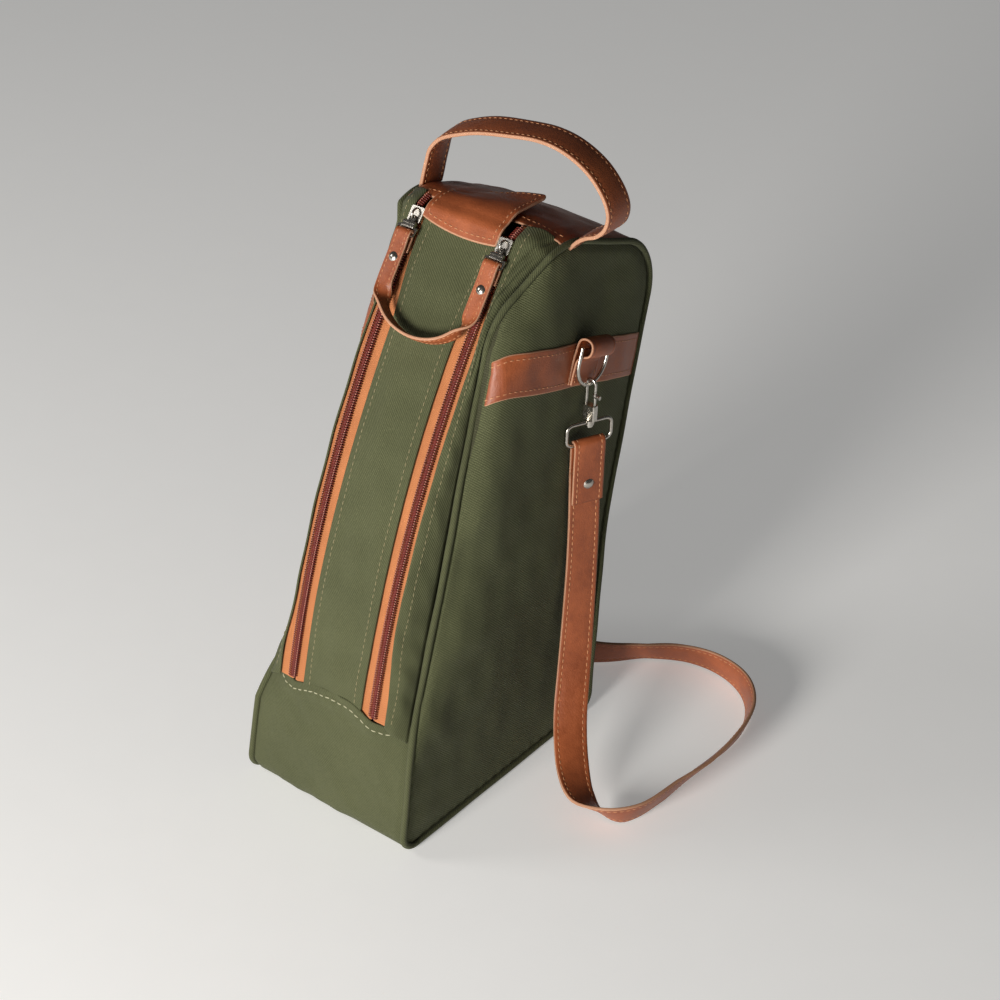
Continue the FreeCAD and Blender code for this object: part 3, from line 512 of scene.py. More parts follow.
class Nodes:
    """Short calls for building a material's nodes."""

    def __init__(self, name, colour, rough, **sockets):
        self.material = bpy.data.materials.new(name)
        self.material.use_nodes = True
        self.tree = self.material.node_tree
        self.shader = self.tree.nodes["Principled BSDF"]
        self.put("Base Color", colour)
        self.put("Roughness", rough)
        for key, value in sockets.items():
            self.shader.inputs[key.replace("_", " ")].default_value = value

    def put(self, key, value, node=None):
        """Gives an input of a node, or of the shader, a value or another node's output."""
        socket = (node or self.shader).inputs[key]
        if isinstance(value, bpy.types.NodeSocket):
            self.tree.links.new(value, socket)
        elif isinstance(value, tuple) and len(socket.default_value) > len(value):
            socket.default_value = (*value, 1)
        else:
            socket.default_value = value

    def add(self, kind, output, inputs, **settings):
        node = self.tree.nodes.new("ShaderNode" + kind)
        for key, value in settings.items():
            setattr(node, key, value)
        for key, value in inputs.items():
            self.put(key, value, node)
        return node.outputs[output]

    def math(self, operation, *values):
        return self.add("Math", 0, dict(enumerate(values)), operation=operation)

    def times(self, a, b):
        return self.math("MULTIPLY", a, b)

    def ridge(self, value):
        """A wave that stands on its zeros."""
        return self.math("ABSOLUTE", self.math("SINE", value))

    def total(self, *parts):
        """The sum of values, each given with its weight."""
        value = self.times(*parts[0])
        for part, weight in parts[1:]:
            value = self.math("MULTIPLY_ADD", part, weight, value)
        return value

    def mix(self, share, a, b):
        return self.add("Mix", 2, {0: share, 6: a, 7: b}, data_type="RGBA")

    def place(self):
        return self.add("TexCoord", "Object", {})

    def threads(self, warp, weft):
        """Both directions of the cloth, counted in threads of those widths in millimetres."""
        where = self.add("UVMap", 0, {}, uv_map="cloth")
        return [self.times(self.add("SeparateXYZ", i, {0: where}), 1000 / width)
                for i, width in enumerate((warp, weft))]

    def noise(self, where, scale, detail=3.0, rough=0.5):
        inputs = {"Vector": where, "Scale": scale, "Detail": detail, "Roughness": rough}
        return self.add("TexNoise", "Fac", inputs)

    def spread(self, value, low, high):
        """Maps a noise that stays near a half to 0 at low and 1 at high."""
        return self.add("MapRange", 0, {0: value, 1: low, 2: high})

    def stretch(self, where, scale):
        return self.add("Mapping", 0, {"Vector": where, "Scale": scale})

    def bump(self, height, strength, distance, under=None):
        inputs = {"Strength": strength, "Distance": distance, "Height": height}
        normal = self.add("Bump", 0, inputs if under is None else {**inputs, "Normal": under})
        self.put("Normal", normal)
        return normal

    def colour(self, value):
        self.put("Base Color", value)


def cloth_material(name, dark, light):
    """Twill: warp and weft threads, with the warp on top in steps that run diagonally."""
    m = Nodes(name, light, 0.82, Sheen_Weight=0.05, Sheen_Roughness=0.45, Specular_IOR_Level=0.25)
    u, v = m.threads(TWILL_THREAD, TWILL_THREAD)
    warp, weft = m.ridge(m.times(u, math.pi)), m.ridge(m.times(v, math.pi))
    step = m.math("SINE", m.times(m.math("ADD", u, v), 2 * math.pi / TWILL_STEP))
    over = m.math("MULTIPLY_ADD", step, 0.5, 0.5)
    weft = m.times(weft, m.math("SUBTRACT", 0.85, over))
    height = m.total((m.times(warp, over), 0.5), (weft, 0.5), (over, 0.5))
    flecks = m.noise(m.place(), 700.0, 2.0)
    broad = m.noise(m.place(), 14.0, 3.0)
    share = m.total((height, 0.8), (flecks, 0.35), (broad, 0.34))
    m.colour(m.mix(m.math("SUBTRACT", share, 0.315), dark, light))
    m.bump(height, 0.8, 0.0005, m.bump(broad, 0.15, 0.002))
    return m.material


def leather_material(name, deep, tan, rough=0.46):
    m = Nodes(name, tan, rough, Coat_Weight=0.08, Coat_Roughness=0.35, Specular_IOR_Level=0.45)
    where = m.place()
    cells = m.add("TexVoronoi", "Distance", {"Vector": where, "Scale": 780.0, "Smoothness": 0.6},
                  feature="SMOOTH_F1")
    grain = m.total((cells, 0.8), (m.noise(where, 1500.0, 2.0), 1.0))
    broad = m.noise(where, 22.0, 5.0, 0.6)
    fine = m.noise(where, 160.0, 4.0, 0.65)
    tone = m.total((m.spread(broad, 0.3, 0.7), 0.65), (m.spread(fine, 0.3, 0.7), 0.35))
    m.colour(m.mix(tone, deep, tan))
    m.put("Roughness", m.math("MULTIPLY_ADD", fine, 0.25, rough - 0.12))
    m.bump(grain, 0.35, 0.0004, m.bump(broad, 0.25, 0.0015))
    return m.material


def edge_material():
    m = Nodes("cut_leather_edge", (0.60, 0.34, 0.21), 0.7)
    fibre = m.noise(m.place(), 900.0, 3.0, 0.7)
    tone = m.noise(m.place(), 60.0, 3.0)
    m.colour(m.mix(m.total((fibre, 0.6), (tone, 0.4)), (0.34, 0.14, 0.07), (0.60, 0.34, 0.21)))
    m.bump(fibre, 0.5, 0.0003)
    return m.material


def tape_material():
    """Herringbone: the threads turn back every few rows."""
    m = Nodes("zip_tape_weave", (0.62, 0.25, 0.085), 0.8, Sheen_Weight=0.05)
    u, v = m.threads(TAPE_WARP, TAPE_WEFT)
    slant = m.math("ADD", m.math("PINGPONG", u, TAPE_FOLD), v)
    height = m.ridge(m.times(slant, math.pi / 2))
    tone = m.noise(m.place(), 45.0, 3.0)
    m.colour(m.mix(m.total((height, 0.45), (tone, 0.6)), (0.30, 0.09, 0.025), (0.54, 0.20, 0.068)))
    m.bump(height, 0.5, 0.0003)
    return m.material


def coil_material():
    m = Nodes("zip_coil_nylon", (0.14, 0.018, 0.012), 0.4, Specular_IOR_Level=0.35)
    tone = m.noise(m.place(), 300.0, 2.0)
    m.colour(m.mix(tone, (0.08, 0.009, 0.006), (0.20, 0.028, 0.018)))
    m.bump(m.noise(m.place(), 1200.0, 2.0), 0.2, 0.0002)
    return m.material


def nickel_material():
    m = Nodes("nickel_plate", (0.80, 0.77, 0.72), 0.2, Metallic=1.0)
    where = m.place()
    wear = m.noise(where, 260.0, 4.0, 0.7)
    brushed = m.noise(m.stretch(where, (2600, 500, 500)), 1.0, 2.0)
    m.colour(m.mix(m.spread(wear, 0.35, 0.75), (0.42, 0.39, 0.34), (0.66, 0.63, 0.58)))
    m.put("Roughness", m.math("MULTIPLY_ADD", wear, 0.25, 0.12))
    m.bump(brushed, 0.08, 0.0002)
    return m.material


def thread_material(name, colour):
    m = Nodes(name, colour, 0.6, Sheen_Weight=0.2)
    where = m.place()
    ply = m.noise(m.stretch(where, (3000, 3000, 1600)), 1.0, 2.0)
    m.colour(m.mix(ply, tuple(c * 0.6 for c in colour), tuple(min(1, c * 1.25) for c in colour)))
    m.bump(ply, 0.6, 0.0003)
    return m.material


def board_material():
    m = Nodes("stiff_board", (0.05, 0.05, 0.048), 0.7)
    fibre = m.noise(m.place(), 400.0, 4.0)
    m.colour(m.mix(fibre, (0.03, 0.03, 0.028), (0.08, 0.078, 0.07)))
    m.bump(fibre, 0.4, 0.0004)
    return m.material


OLIVE = cloth_material("olive_twill", (0.030, 0.035, 0.014), (0.138, 0.146, 0.068))
LINING = cloth_material("olive_twill_back", (0.026, 0.027, 0.012), (0.075, 0.076, 0.038))
TAN = leather_material("tan_leather", (0.205, 0.047, 0.014), (0.42, 0.112, 0.036))
EDGE = edge_material()
TAPE = tape_material()
COIL = coil_material()
NICKEL = nickel_material()
BOARD = board_material()
PALE_THREAD = thread_material("pale_thread", (0.50, 0.48, 0.31))
OLIVE_THREAD = thread_material("olive_thread", (0.25, 0.21, 0.10))
TAN_THREAD = thread_material("tan_thread", (0.60, 0.26, 0.11))
# The coil's thread is real sewing thread, but its pale pink is also painted highlight for the glints along
# the coil rows.
COIL_THREAD_AND_HIGHLIGHT = thread_material("coil_thread_and_painted_highlight", (0.58, 0.24, 0.17))


# ---------------------------------------------------------------- body panels
CLOTH_FACES, LEATHER_FACES, STRAP_FACES = [OLIVE, LINING, OLIVE], [TAN, TAN, EDGE], [TAN, EDGE]
THIN_CLOTH = 1.5
CLOTH_EASE = 26.0                       # length from a seam over which the cloth comes to its full height
SEAM_TUCK, SEAM_RISE = 0.9, 1.3         # a cross panel's edge under its line, and its step up beside it
SHOWN = np.array([0.5, -1.0, 0.4])      # way that a front strip's outer face looks

# creases of the side cloth: both ends (y, z), half width and height
SIDE_CREASES = [
    ((-30, 388), (22, 376), 5.0, 2.3), ((-40, 366), (-4, 356), 4.5, 1.8),
    ((-50, 340), (-18, 344), 5.0, -1.3), ((-54, 316), (-20, 296), 6.0, 1.4),
    ((-66, 268), (10, 236), 14.0, 1.6), ((-70, 232), (-10, 200), 12.0, -1.2),
    ((110, 40), (60, 14), 7.0, 1.4), ((-92, 120), (-50, 60), 9.0, 1.6),
    ((60, 300), (20, 230), 16.0, 1.3), ((-80, 180), (30, 120), 18.0, 1.4),
    ((100, 150), (40, 90), 14.0, -1.2)]


def side_depth(y, z):
    """How far the cloth of a side panel stands in front of its flat CAD plate."""
    point = np.stack([np.zeros_like(y), y, z], -1)
    middle = 1.5 * bell((y - 15) / 75) * bell((z - 190) / 120)
    top = 0.8 * bell((y - 40) / 60) * bell((z - 390) / 30)
    depth = middle + top + 0.85 * waves(point, 120, 3) + 0.30 * waves(point, 38, 4)
    for (y0, z0), (y1, z1), wide, deep in SIDE_CREASES:
        along = np.array([y1 - y0, z1 - z0])
        share = np.clip(((y - y0) * along[0] + (z - z0) * along[1]) / (along @ along), 0, 1)
        away = np.hypot(y - y0 - share * along[0], z - z0 - share * along[1])
        depth = depth + deep * bell(away / wide) * np.sin(math.pi * (0.15 + 0.85 * share))
    return depth


def side_panel(sign, name):
    """The cloth of one side, tucked under its welt all round."""
    s = np.linspace(0, RIM.length, 420, endpoint=False)
    edge = RIM.at(s)
    shares = np.concatenate([np.linspace(0, 0.9, 46)[1:], np.linspace(0.9, 1.0, 14)[1:]])
    centre = np.array(SIDE_CENTRE)
    pts = centre + (edge[None] - centre) * shares[:, None, None]
    y, z = pts[..., 0], pts[..., 1]
    gap = np.linalg.norm(edge[None] - pts, axis=-1)
    pucker = 0.30 * np.sin(s * 2 * math.pi / 11.0 + 1.5 * np.sin(s / 37.0)) * bell((gap - 4) / 4.5)
    tuck = 1.6 - 1.4 * smooth(gap / 7.0)
    x = HALF_WIDTH - tuck + side_depth(y, z) * smooth(gap / CLOTH_EASE) + pucker
    outer = SLUMP[sign].side(np.stack([x, y, z], -1))
    rings, n = outer.shape[:2]
    low = rings * n
    through = np.array([CLOTH, 0, 0])
    pole = np.array([[x[0].mean(), *centre]])
    inner = outer - through
    verts = np.concatenate([outer.reshape(-1, 3), inner.reshape(-1, 3), pole, pole - through])
    ids = np.arange(low).reshape(rings, n)
    front = quads(ids)
    faces = front.tolist() + (front[:, ::-1] + low).tolist()
    kinds = [0] * len(front) + [1] * len(front)
    for i in range(n):
        j = (i + 1) % n
        faces.append([2 * low, ids[0, i], ids[0, j]])
        faces.append([2 * low + 1, ids[0, j] + low, ids[0, i] + low])
        faces.append([ids[-1, i], ids[-1, i] + low, ids[-1, j] + low, ids[-1, j]])
        kinds += [0, 1, 0]
    if sign > 0:
        faces = [f[::-1] for f in faces]
    verts[:, 0] *= sign
    uv = verts[:, 1:] * [sign, 1]
    piece = mesh_piece(name, verts, faces, [OLIVE, LINING], "shell", kinds, uv)
    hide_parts(name.replace("cloth", "panel"))


def along_gusset(name, s0, s1, offset, thick, materials, steps, low_edge=None, high_edge=None,
                 power=2.0, x_half=SEAM_X):
    """A panel that runs across the bag from side to side, between two places on the side line.
    offset(x, s, point) is its height over the line; the edges may vary with x."""
    x = np.linspace(-x_half, x_half, 96)
    t = np.linspace(0, 1, steps)
    first = s0 if low_edge is None else low_edge(x)[:, None]
    last = s1 if high_edge is None else high_edge(x)[:, None]
    s = first + (last - first) * t[None]
    s = np.broadcast_to(s, (len(x), steps))
    p, n = GUSSET.at(s), GUSSET.out(s)
    point = np.concatenate([np.broadcast_to(x[:, None, None], (*p.shape[:2], 1)), p], -1)
    grid = point.copy()
    grid[..., 1:] += n * offset(point[..., 0], s, point)[..., None]
    grid = slumped(grid, (np.abs(point[..., 0]) / SEAM_X) ** power)
    uv = np.stack([point[..., 0], s], -1)
    return grid, slab(name, grid, thick, materials, "shell", uv)


# the top edge of the lower front: its height at places across the bag
LOWER_EDGE_X = [-72, -60, -50, -39, -30, -18, 0, 18, 28, 34, 39, 50, 60, 72]
LOWER_EDGE_Z = [116, 108, 102, 100, 101.5, 104.5, 106.5, 106, 103.5, 101, 99.5, 100, 103, 109]


def seam_dip(x, width=3.0):
    """1 in the middle of the bag and 0 at the seams beside the welts."""
    return smooth((SEAM_X - np.abs(x)) / width)


def lower_front():
    heights = np.linspace(80, 130, 200)
    lengths = np.array([GUSSET.where(1, z, (0.0, 0.3)) for z in heights])

    def top(x):
        return np.interp(np.interp(x, LOWER_EDGE_X, LOWER_EDGE_Z), heights, lengths)

    def offset(x, s, point):
        edge = top(x)
        puff = 2.6 * np.sin(math.pi * np.clip(s / 110, 0, 1)) * (1 - (x / 76) ** 2)
        ease = 0.60 * waves(point, 60, 11) + 0.20 * waves(point, 22, 12)
        pucker = 0.28 * np.sin(x * 2 * math.pi / 8.5 + 2 * np.sin(x / 19)) * bell((s - edge + 6) / 5)
        lap = 1.6 * smooth((s - (edge - 16)) / 10)
        full = (puff + ease + pucker) * smooth(s / 22)
        return -SEAM_TUCK + SEAM_RISE * seam_dip(x, 5) + full * seam_dip(x, 22) + lap * seam_dip(x, 6)

    grid, piece = along_gusset("lower_front_cloth", 2.0, 0, offset, CLOTH, CLOTH_FACES, 70, high_edge=top)
    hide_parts("lower_front_panel")
    return [inset_row(grid, 5.2, from_end=True)]


def back_cloth():
    top = GUSSET.where(1, 394.0, (0.5, 0.75))
    foot = GUSSET.where(1, 3.2, (0.7, 0.9))

    def offset(x, s, point):
        soft = 1.2 * waves(point, 110, 21) + 0.3 * waves(point, 34, 22) + 1.4
        ends = smooth((foot - s) / 40) * smooth((s - top) / 12)
        return -SEAM_TUCK + SEAM_RISE * seam_dip(x, 5) + soft * seam_dip(x, 24) * ends

    _, piece = along_gusset("back_cloth", top, foot, offset, CLOTH, CLOTH_FACES, 220, power=3.0)
    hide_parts("back_panel")


def base_cloth():
    gx, gy = np.meshgrid(np.linspace(-SEAM_X, SEAM_X, 60), np.linspace(-103, 104, 80), indexing="ij")
    sag = 0.12 * waves(np.stack([gx, gy, 0 * gx], -1), 60, 31)
    grid = np.stack([gx, gy, 0.4 + sag], -1)[:, ::-1]
    piece = slab("base_cloth", grid, THIN_CLOTH, CLOTH_FACES, "shell")
    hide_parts("base_panel")


# ---------------------------------------------------------------- front
# folds across the front strips: place up the strip, slant and half width as shares of it, and depth
STRIP_FOLDS = [(0.93, 0.20, 0.016, 2.5), (0.86, 0.26, 0.020, 2.1), (0.72, 0.20, 0.03, 1.1)]
STRIP_STITCHES = 0.24                   # share of a strip's width from its fold
PANEL_HALF = ZIP_X - FOLD
ZIP_HALVES = {"inner": (-1, "front_flap"), "outer": (1, "shell")}         # way from the middle, body
# tape: near edge from the zip's middle, far edge under the cloth, top end from the end of the line
TAPE_EDGES = {"inner": (1.9, 1.5, 18.0), "outer": (0.5, -0.2, 3.0)}
TAPE_LAP = 0.5
# how far the folded cloth closes in over a zip: above its foot, and more near its top
FOLD_CLOSED = {"inner": (0.5, 4.5), "outer": (4.2, 2.3)}
SLIDER_BACK = 24.0                      # where the sliders are, from the end of the line
# one loop of a coil: (away from the middle, out) of its points, radius there, and slant along the zip
COIL_LOOP = [(3.0, -1.6, 0.42, 0.22), (3.25, -0.7, 0.46, 0.16), (2.7, 0.15, 0.50, 0.08),
             (1.6, 0.32, 0.50, 0), (0.4, 0.30, 0.52, 0), (-0.55, 0.05, 0.62, 0),
             (-0.95, -0.55, 0.66, 0), (-0.55, -1.1, 0.6, -0.06), (0.6, -1.35, 0.45, -0.18)]


def tape_gap(zs, part):
    """Middle of a zip to the folded cloth beside it: the folds close in towards the top."""
    middle = smooth((zs - ZIP_LOW - 15) / 60)
    near_top = smooth((zs - (ZIP.length - 105)) / 60)
    return FOLD - middle * FOLD_CLOSED[part][0] - near_top * FOLD_CLOSED[part][1]


def front_strip(sign, name):
    """Cloth from the fold beside a zip to the seam under the welt."""
    t = np.linspace(0, 1, 240)
    zs = ZIP_LOW + (ZIP.length - 4.0 - ZIP_LOW) * t
    foot = GUSSET.where(1, 96.0, (0.0, 0.3))
    gs = foot + (FRONT_TOP - foot) * t
    fold = np.concatenate([(ZIP_X + tape_gap(zs, "outer"))[:, None], ZIP.at(zs)], -1)
    seam = np.concatenate([np.full((len(gs), 1), SEAM_X), GUSSET.at(gs)], -1)
    seam = SLUMP[sign].moved(seam, 1.0)
    u = np.linspace(0, 1, 34)[:, None]
    base = fold[None] + (seam - fold)[None] * u[..., None]
    up = normals_of(base)
    up *= np.sign(np.mean(up @ SHOWN))
    arch = np.sin(math.pi * u)
    puff = 2.6 * arch ** 0.8 * (1 + 0.7 * bell((t - 0.90) / 0.10))
    soft = 0.75 * waves(base, 55, 41 + sign) + 0.36 * waves(base, 20, 44 + sign)
    tuck = 1.5 * smooth((u - 0.84) / 0.16)
    folds = 0
    for centre, slant, wide, deep in STRIP_FOLDS:
        folds = folds + deep * bell((t - centre - slant * (u - 0.5)) / wide) * arch ** 1.2
    edge_wave = 0.3 * np.sin(zs / 9.0 + sign) * bell(u / 0.2)
    grid = base + up * (puff + soft * arch - tuck - folds + edge_wave + 0.3)[..., None]
    across = np.cumsum(np.linalg.norm(np.diff(base, axis=0), axis=-1), 0)
    across = np.concatenate([np.zeros((1, len(t))), across])
    uv = np.stack([ZIP_X + FOLD + across, np.broadcast_to(zs[None], across.shape)], -1)
    sheet = (grid, uv) if sign > 0 else ((grid * [-1, 1, 1])[::-1], (uv * [-1, 1])[::-1])
    piece = slab(name, sheet[0], THIN_CLOTH, CLOTH_FACES, "shell", sheet[1])
    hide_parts(name.replace("cloth", "strip"))
    k = int(np.argmin(abs(u - STRIP_STITCHES)))
    keep = (grid[k][:, 2] > 103) & (grid[k][:, 1] < 50)
    turned = normals_of(grid)
    turned *= np.sign(np.mean(turned @ SHOWN))
    return [(grid[k][keep] * [sign, 1, 1], turned[k][keep] * [sign, 1, 1])]


def panel_height(x, zs):
    """How far the middle panel stands over the zip line."""
    point = np.stack([x, 0 * x, zs], -1)
    crown = 2.4 * (1 - (x / PANEL_HALF) ** 2)
    soft = 1.1 * waves(point, 95, 51) + 0.42 * waves(point, 33, 52)
    ends = smooth((zs - ZIP_LOW) / 22) * smooth((ZIP.length - 30 - zs) / 40)
    return 0.1 + (crown + soft * smooth((PANEL_HALF - abs(x)) / 12)) * (0.25 + 0.75 * ends)


def front_panel():
    x = np.linspace(-PANEL_HALF, PANEL_HALF, 52)
    zs = np.linspace(ZIP_LOW, ZIP.length - 14.0, 240)
    gx, gs = np.meshgrid(x, zs, indexing="ij")
    p, n = ZIP.at(gs), ZIP.out(gs)
    wide = (ZIP_X - tape_gap(gs, "inner")) / PANEL_HALF
    edge = 0.7 * np.sin(gs / 60 + 0.6) * (abs(gx) / PANEL_HALF) ** 3 * np.sign(gx)
    grid = np.concatenate([(gx * wide + edge)[..., None], p + n * panel_height(gx, gs)[..., None]], -1)
    uv = np.stack([gx, gs], -1)
    piece = slab("front_panel_cloth", grid, 1.6, CLOTH_FACES, "front_flap", uv)
    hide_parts("front_panel")
    up = normals_of(grid)
    keep = (zs > ZIP.where(1, 101.0))
    near = [int(np.argmin(abs(x - value))) for value in (-PANEL_HALF + 4.8, PANEL_HALF - 5.5)]
    return [(grid[k][keep], up[k][keep]) for k in near]


def zip_tape(sign, side, part):
    """One half of a zip's tape, under the folded cloth on one side of the chain."""
    way, body = ZIP_HALVES[part]
    near, far, top = TAPE_EDGES[part]
    zs = np.linspace(ZIP_LOW, ZIP.length - top, 180)
    share, gs = np.meshgrid(np.linspace(0, 1, 9), zs, indexing="ij")
    gx = ZIP_X + way * (near + share * (tape_gap(gs, part) + far - near + TAPE_LAP))
    p, n = ZIP.at(gs), ZIP.out(gs)
    cord = 0.35 * bell((abs(gx - ZIP_X) - 3.6) / 0.8)
    drop = -TAPE_DROP + cord + 0.12 * waves(np.stack([gx, 0 * gx, gs], -1), 30, 61)
    grid = np.concatenate([gx[..., None], p + n * drop[..., None]], -1)
    uv = np.stack([gx, gs], -1)
    if way * sign < 0:
        grid, uv = grid[::-1], uv[::-1]
    grid = grid * [sign, 1, 1]
    piece = slab(f"zip_tape_{part}_weave_{side}", grid, 0.8, [TAPE, TAPE, TAPE], body, uv, 1)
    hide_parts(f"zip_tape_{part}_{side}")


def zip_coil(sign, side, part):
    """One row of a zip's coil: bent wire loops whose heads reach over the middle of the chain."""
    way, body = ZIP_HALVES[part]
    slider = ZIP.length - SLIDER_BACK
    # the inner row's loops lie between the outer row's, and stop at the slider
    top, late = (slider, 0.5) if part == "inner" else (ZIP.length - 5.0, 0)
    away, rise, bead, slant = np.array(COIL_LOOP).T
    ids = np.arange(len(away) * 6).reshape(-1, 6)
    verts, faces = [], []
    for k in range(int((top - ZIP_LOW - 3) / COIL_PITCH)):
        s = ZIP_LOW + 3 + (k + late) * COIL_PITCH
        p, n = ZIP.at(s), ZIP.out(s)
        ahead = np.array([0, n[1], -n[0]])
        apart = 0.55 if s > slider + 2 else 0.0
        centre = (np.array([ZIP_X, *p]) + np.outer(away * 1.15 + apart, [way, 0, 0])
                  + np.outer(rise, [0, *n]) + np.outer(slant * COIL_PITCH, ahead))
        run = unit(np.gradient(centre, axis=0))
        b = np.broadcast_to(ahead, run.shape)
        ring = circles(b, np.cross(run, b), 6)
        faces.append(quads(ids + len(verts) * ids.size))
        verts.append((centre[:, None] + ring * bead[:, None, None]).reshape(-1, 3))
    verts = np.concatenate(verts) * [sign, 1, 1]
    faces = np.concatenate(faces)[:, ::1 if sign * way > 0 else -1]
    piece = mesh_piece(f"zip_coil_{part}_loops_{side}", verts, faces, [COIL], body)
    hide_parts(f"zip_coil_{part}_{side}")
    s = np.linspace(ZIP_LOW + 2, top, 400)
    p, n = ZIP.at(s), ZIP.out(s)
    line = np.concatenate([np.full((len(s), 1), sign * (ZIP_X + way * 2.5)), p + n * 0.66], -1)
    up = np.concatenate([np.zeros((len(s), 1)), n], -1)
    rows = [(line, up)]
    # These pale thread dots are real sewing thread, made bright as painted highlight for the glints on the
    # coil.
    stitches(f"zip_coil_{part}_thread_{side}", rows, COIL_THREAD_AND_HIGHLIGHT, body, COIL_PITCH, 0.6, 0.42)


# ---------------------------------------------------------------- leather on top
# the front edge of the yoke: its y at places across the bag
YOKE_EDGE_X = [-72, -62, -50, -40, -30, 30, 38, 44, 50, 58, 66, 72]
YOKE_EDGE_Y = [46, 47, 49, 51, 52, 59, 58.5, 58, 57, 56, 55.5, 55]


# the tab: half its width, and y of its front edge, its back edge and the place where it comes loose
TAB_HALF, TAB_FRONT, TAB_BACK, TAB_HINGE = 31.5, 35.5, 88.5, 46.0


def yoke():
    ys = np.linspace(40, 66, 200)
    lengths = np.array([GUSSET.where(0, y, (0.28, 0.5)) for y in ys])
    back = GUSSET.where(1, 392.0, (0.5, 0.75))

    def front(x):
        return np.interp(np.interp(x, YOKE_EDGE_X, YOKE_EDGE_Y), ys, lengths)

    def offset(x, s, point):
        share = np.clip((s - front(x)) / (back - front(x)), 0, 1)
        puff = 5.5 * (1 - (x / 75) ** 2) * np.sin(math.pi * share ** 0.8)
        soft = 0.35 * waves(point, 50, 71) + 0.12 * waves(point, 18, 72)
        lift = 0.9 * bell((s - front(x)) / 5) * bell((abs(x) - 44) / 12)
        return 0.5 + 0.9 * seam_dip(x, 4) + (puff + soft) * seam_dip(x, 16) + lift

    grid, piece = along_gusset("yoke_leather", 0, back, offset, LEATHER, LEATHER_FACES, 120, low_edge=front,
                               power=4.0, x_half=SEAM_X - 0.2)
    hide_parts("top_yoke")
    rows = [inset_row(grid, 6.5), inset_row(grid, 4.5, from_end=True)]
    stitches("yoke_stitches", rows, TAN_THREAD, "shell", 4.4)


def tab():
    """The free leather end of the middle panel: sewn to it in front, loose over the yoke behind."""
    _, low, knuckle, _ = zip_corners()
    slope = (knuckle[1] - low[1]) / (knuckle[0] - low[0])
    crest, back = shifted(SIDE_LINE[1:6], RISE, False)[2:4]
    fall = (back[1] - crest[1]) / (back[0] - crest[0])
    start, end = 26.0, 110.0
    line = Line([(start, knuckle[1] + (start - knuckle[0]) * slope, 0), (knuckle[0], knuckle[1], 9.0),
                 (crest[0], crest[1], 20.0), (end, crest[1] + fall * (end - crest[0]), 0)], shift=2.2)
    half, nx, ns = TAB_HALF, 60, 90
    xs = np.linspace(-half, half, nx)
    s_back = line.where(0, TAB_BACK)
    loose = line.where(0, 48)
    grid = np.zeros((nx, ns, 3))
    for i, x in enumerate(xs):
        front_y = TAB_FRONT - 2.0 * (1 - (x / half) ** 2) - 0.8 * (x / half)
        s0 = line.where(0, front_y, (0.0, 0.5))
        round_corner = 7.0 if x > 0 else 5.0
        cut = max(0.0, abs(x) - (half - round_corner))
        s1 = s_back - (round_corner - math.sqrt(max(round_corner ** 2 - cut ** 2, 0)))
        s = s0 + (s1 - s0) * np.linspace(0, 1, ns)
        p, n = line.at(s), line.out(s)
        free = smooth((s - line.where(0, TAB_HINGE)) / 14)
        share = np.clip((s - loose) / (s_back - loose), 0, 1)
        right = 1.2 * np.clip(x / half, 0, 1) ** 3 * free
        curl = 3.0 * share + (4.5 + 6.5 * x / half) * share ** 1.5 + right
        sag = 0.7 * free * np.sin(x / 13.0 + 0.6)
        grid[i, :, 0] = x
        grid[i, :, 1:] = p + n * (0.5 + curl + sag)[:, None]
    grid += normals_of(grid) * (0.22 * waves(grid, 30, 81))[..., None]
    piece = slab("tab_leather", grid, 2.0, LEATHER_FACES, None)
    up = normals_of(grid)
    rows = [inset_row(grid, 3.4, from_end, 3) for from_end in (False, True)]
    rows += [(grid[i, 5:-10], up[i, 5:-10]) for i in (3, nx - 4)]
    thread_and_highlight = stitches("tab_stitches", rows, TAN_THREAD, None, 4.4)
    for thing in (piece, thread_and_highlight):
        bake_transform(thing)
    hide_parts("tab_base", "tab_flap")


# (x, z) of the middle of the handle, from its left seam to its right seam
HANDLE_POINTS = [(-60.5, 418), (-59, 425), (-57.5, 433), (-55.5, 442), (-52.5, 452.5), (-44, 462.5),
                 (-29, 470), (-10, 476.5), (15, 481.5), (40, 485), (61, 483), (80, 475), (93, 463),
                 (99.5, 450), (98, 438.5), (91, 430.5), (82, 426.4), (75, 421.5), (69, 415.0)]


def handle():
    path = catmull([(x, HANDLE_Y, z) for x, z in HANDLE_POINTS], 2.0)
    t = np.linspace(0, 1, len(path))
    path[:, 1] += 1.6 * np.sin(t * math.pi * 2.2)
    lean = 0.10 * np.sin(t * math.pi * 2) + 0.05
    across = np.stack([0 * t, 1 + 0 * t, lean], -1)
    piece = strap("handle_leather", path, across, *HANDLE_SIZE, STRAP_FACES, None)
    rows = strap_rows(path, across, *HANDLE_SIZE)
    thread_and_highlight = stitches("handle_stitches", rows, TAN_THREAD, None, 4.6)
    for thing in (piece, thread_and_highlight):
        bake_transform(thing)
    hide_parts("handle", "handle_end_left", "handle_end_right")


# ---------------------------------------------------------------- sides
def band_point(along, across):
    slope = math.radians(BAND_SLOPE)
    return (BAND_REF[0] + along * math.cos(slope) - across * math.sin(slope),
            BAND_REF[1] + along * math.sin(slope) + across * math.cos(slope))


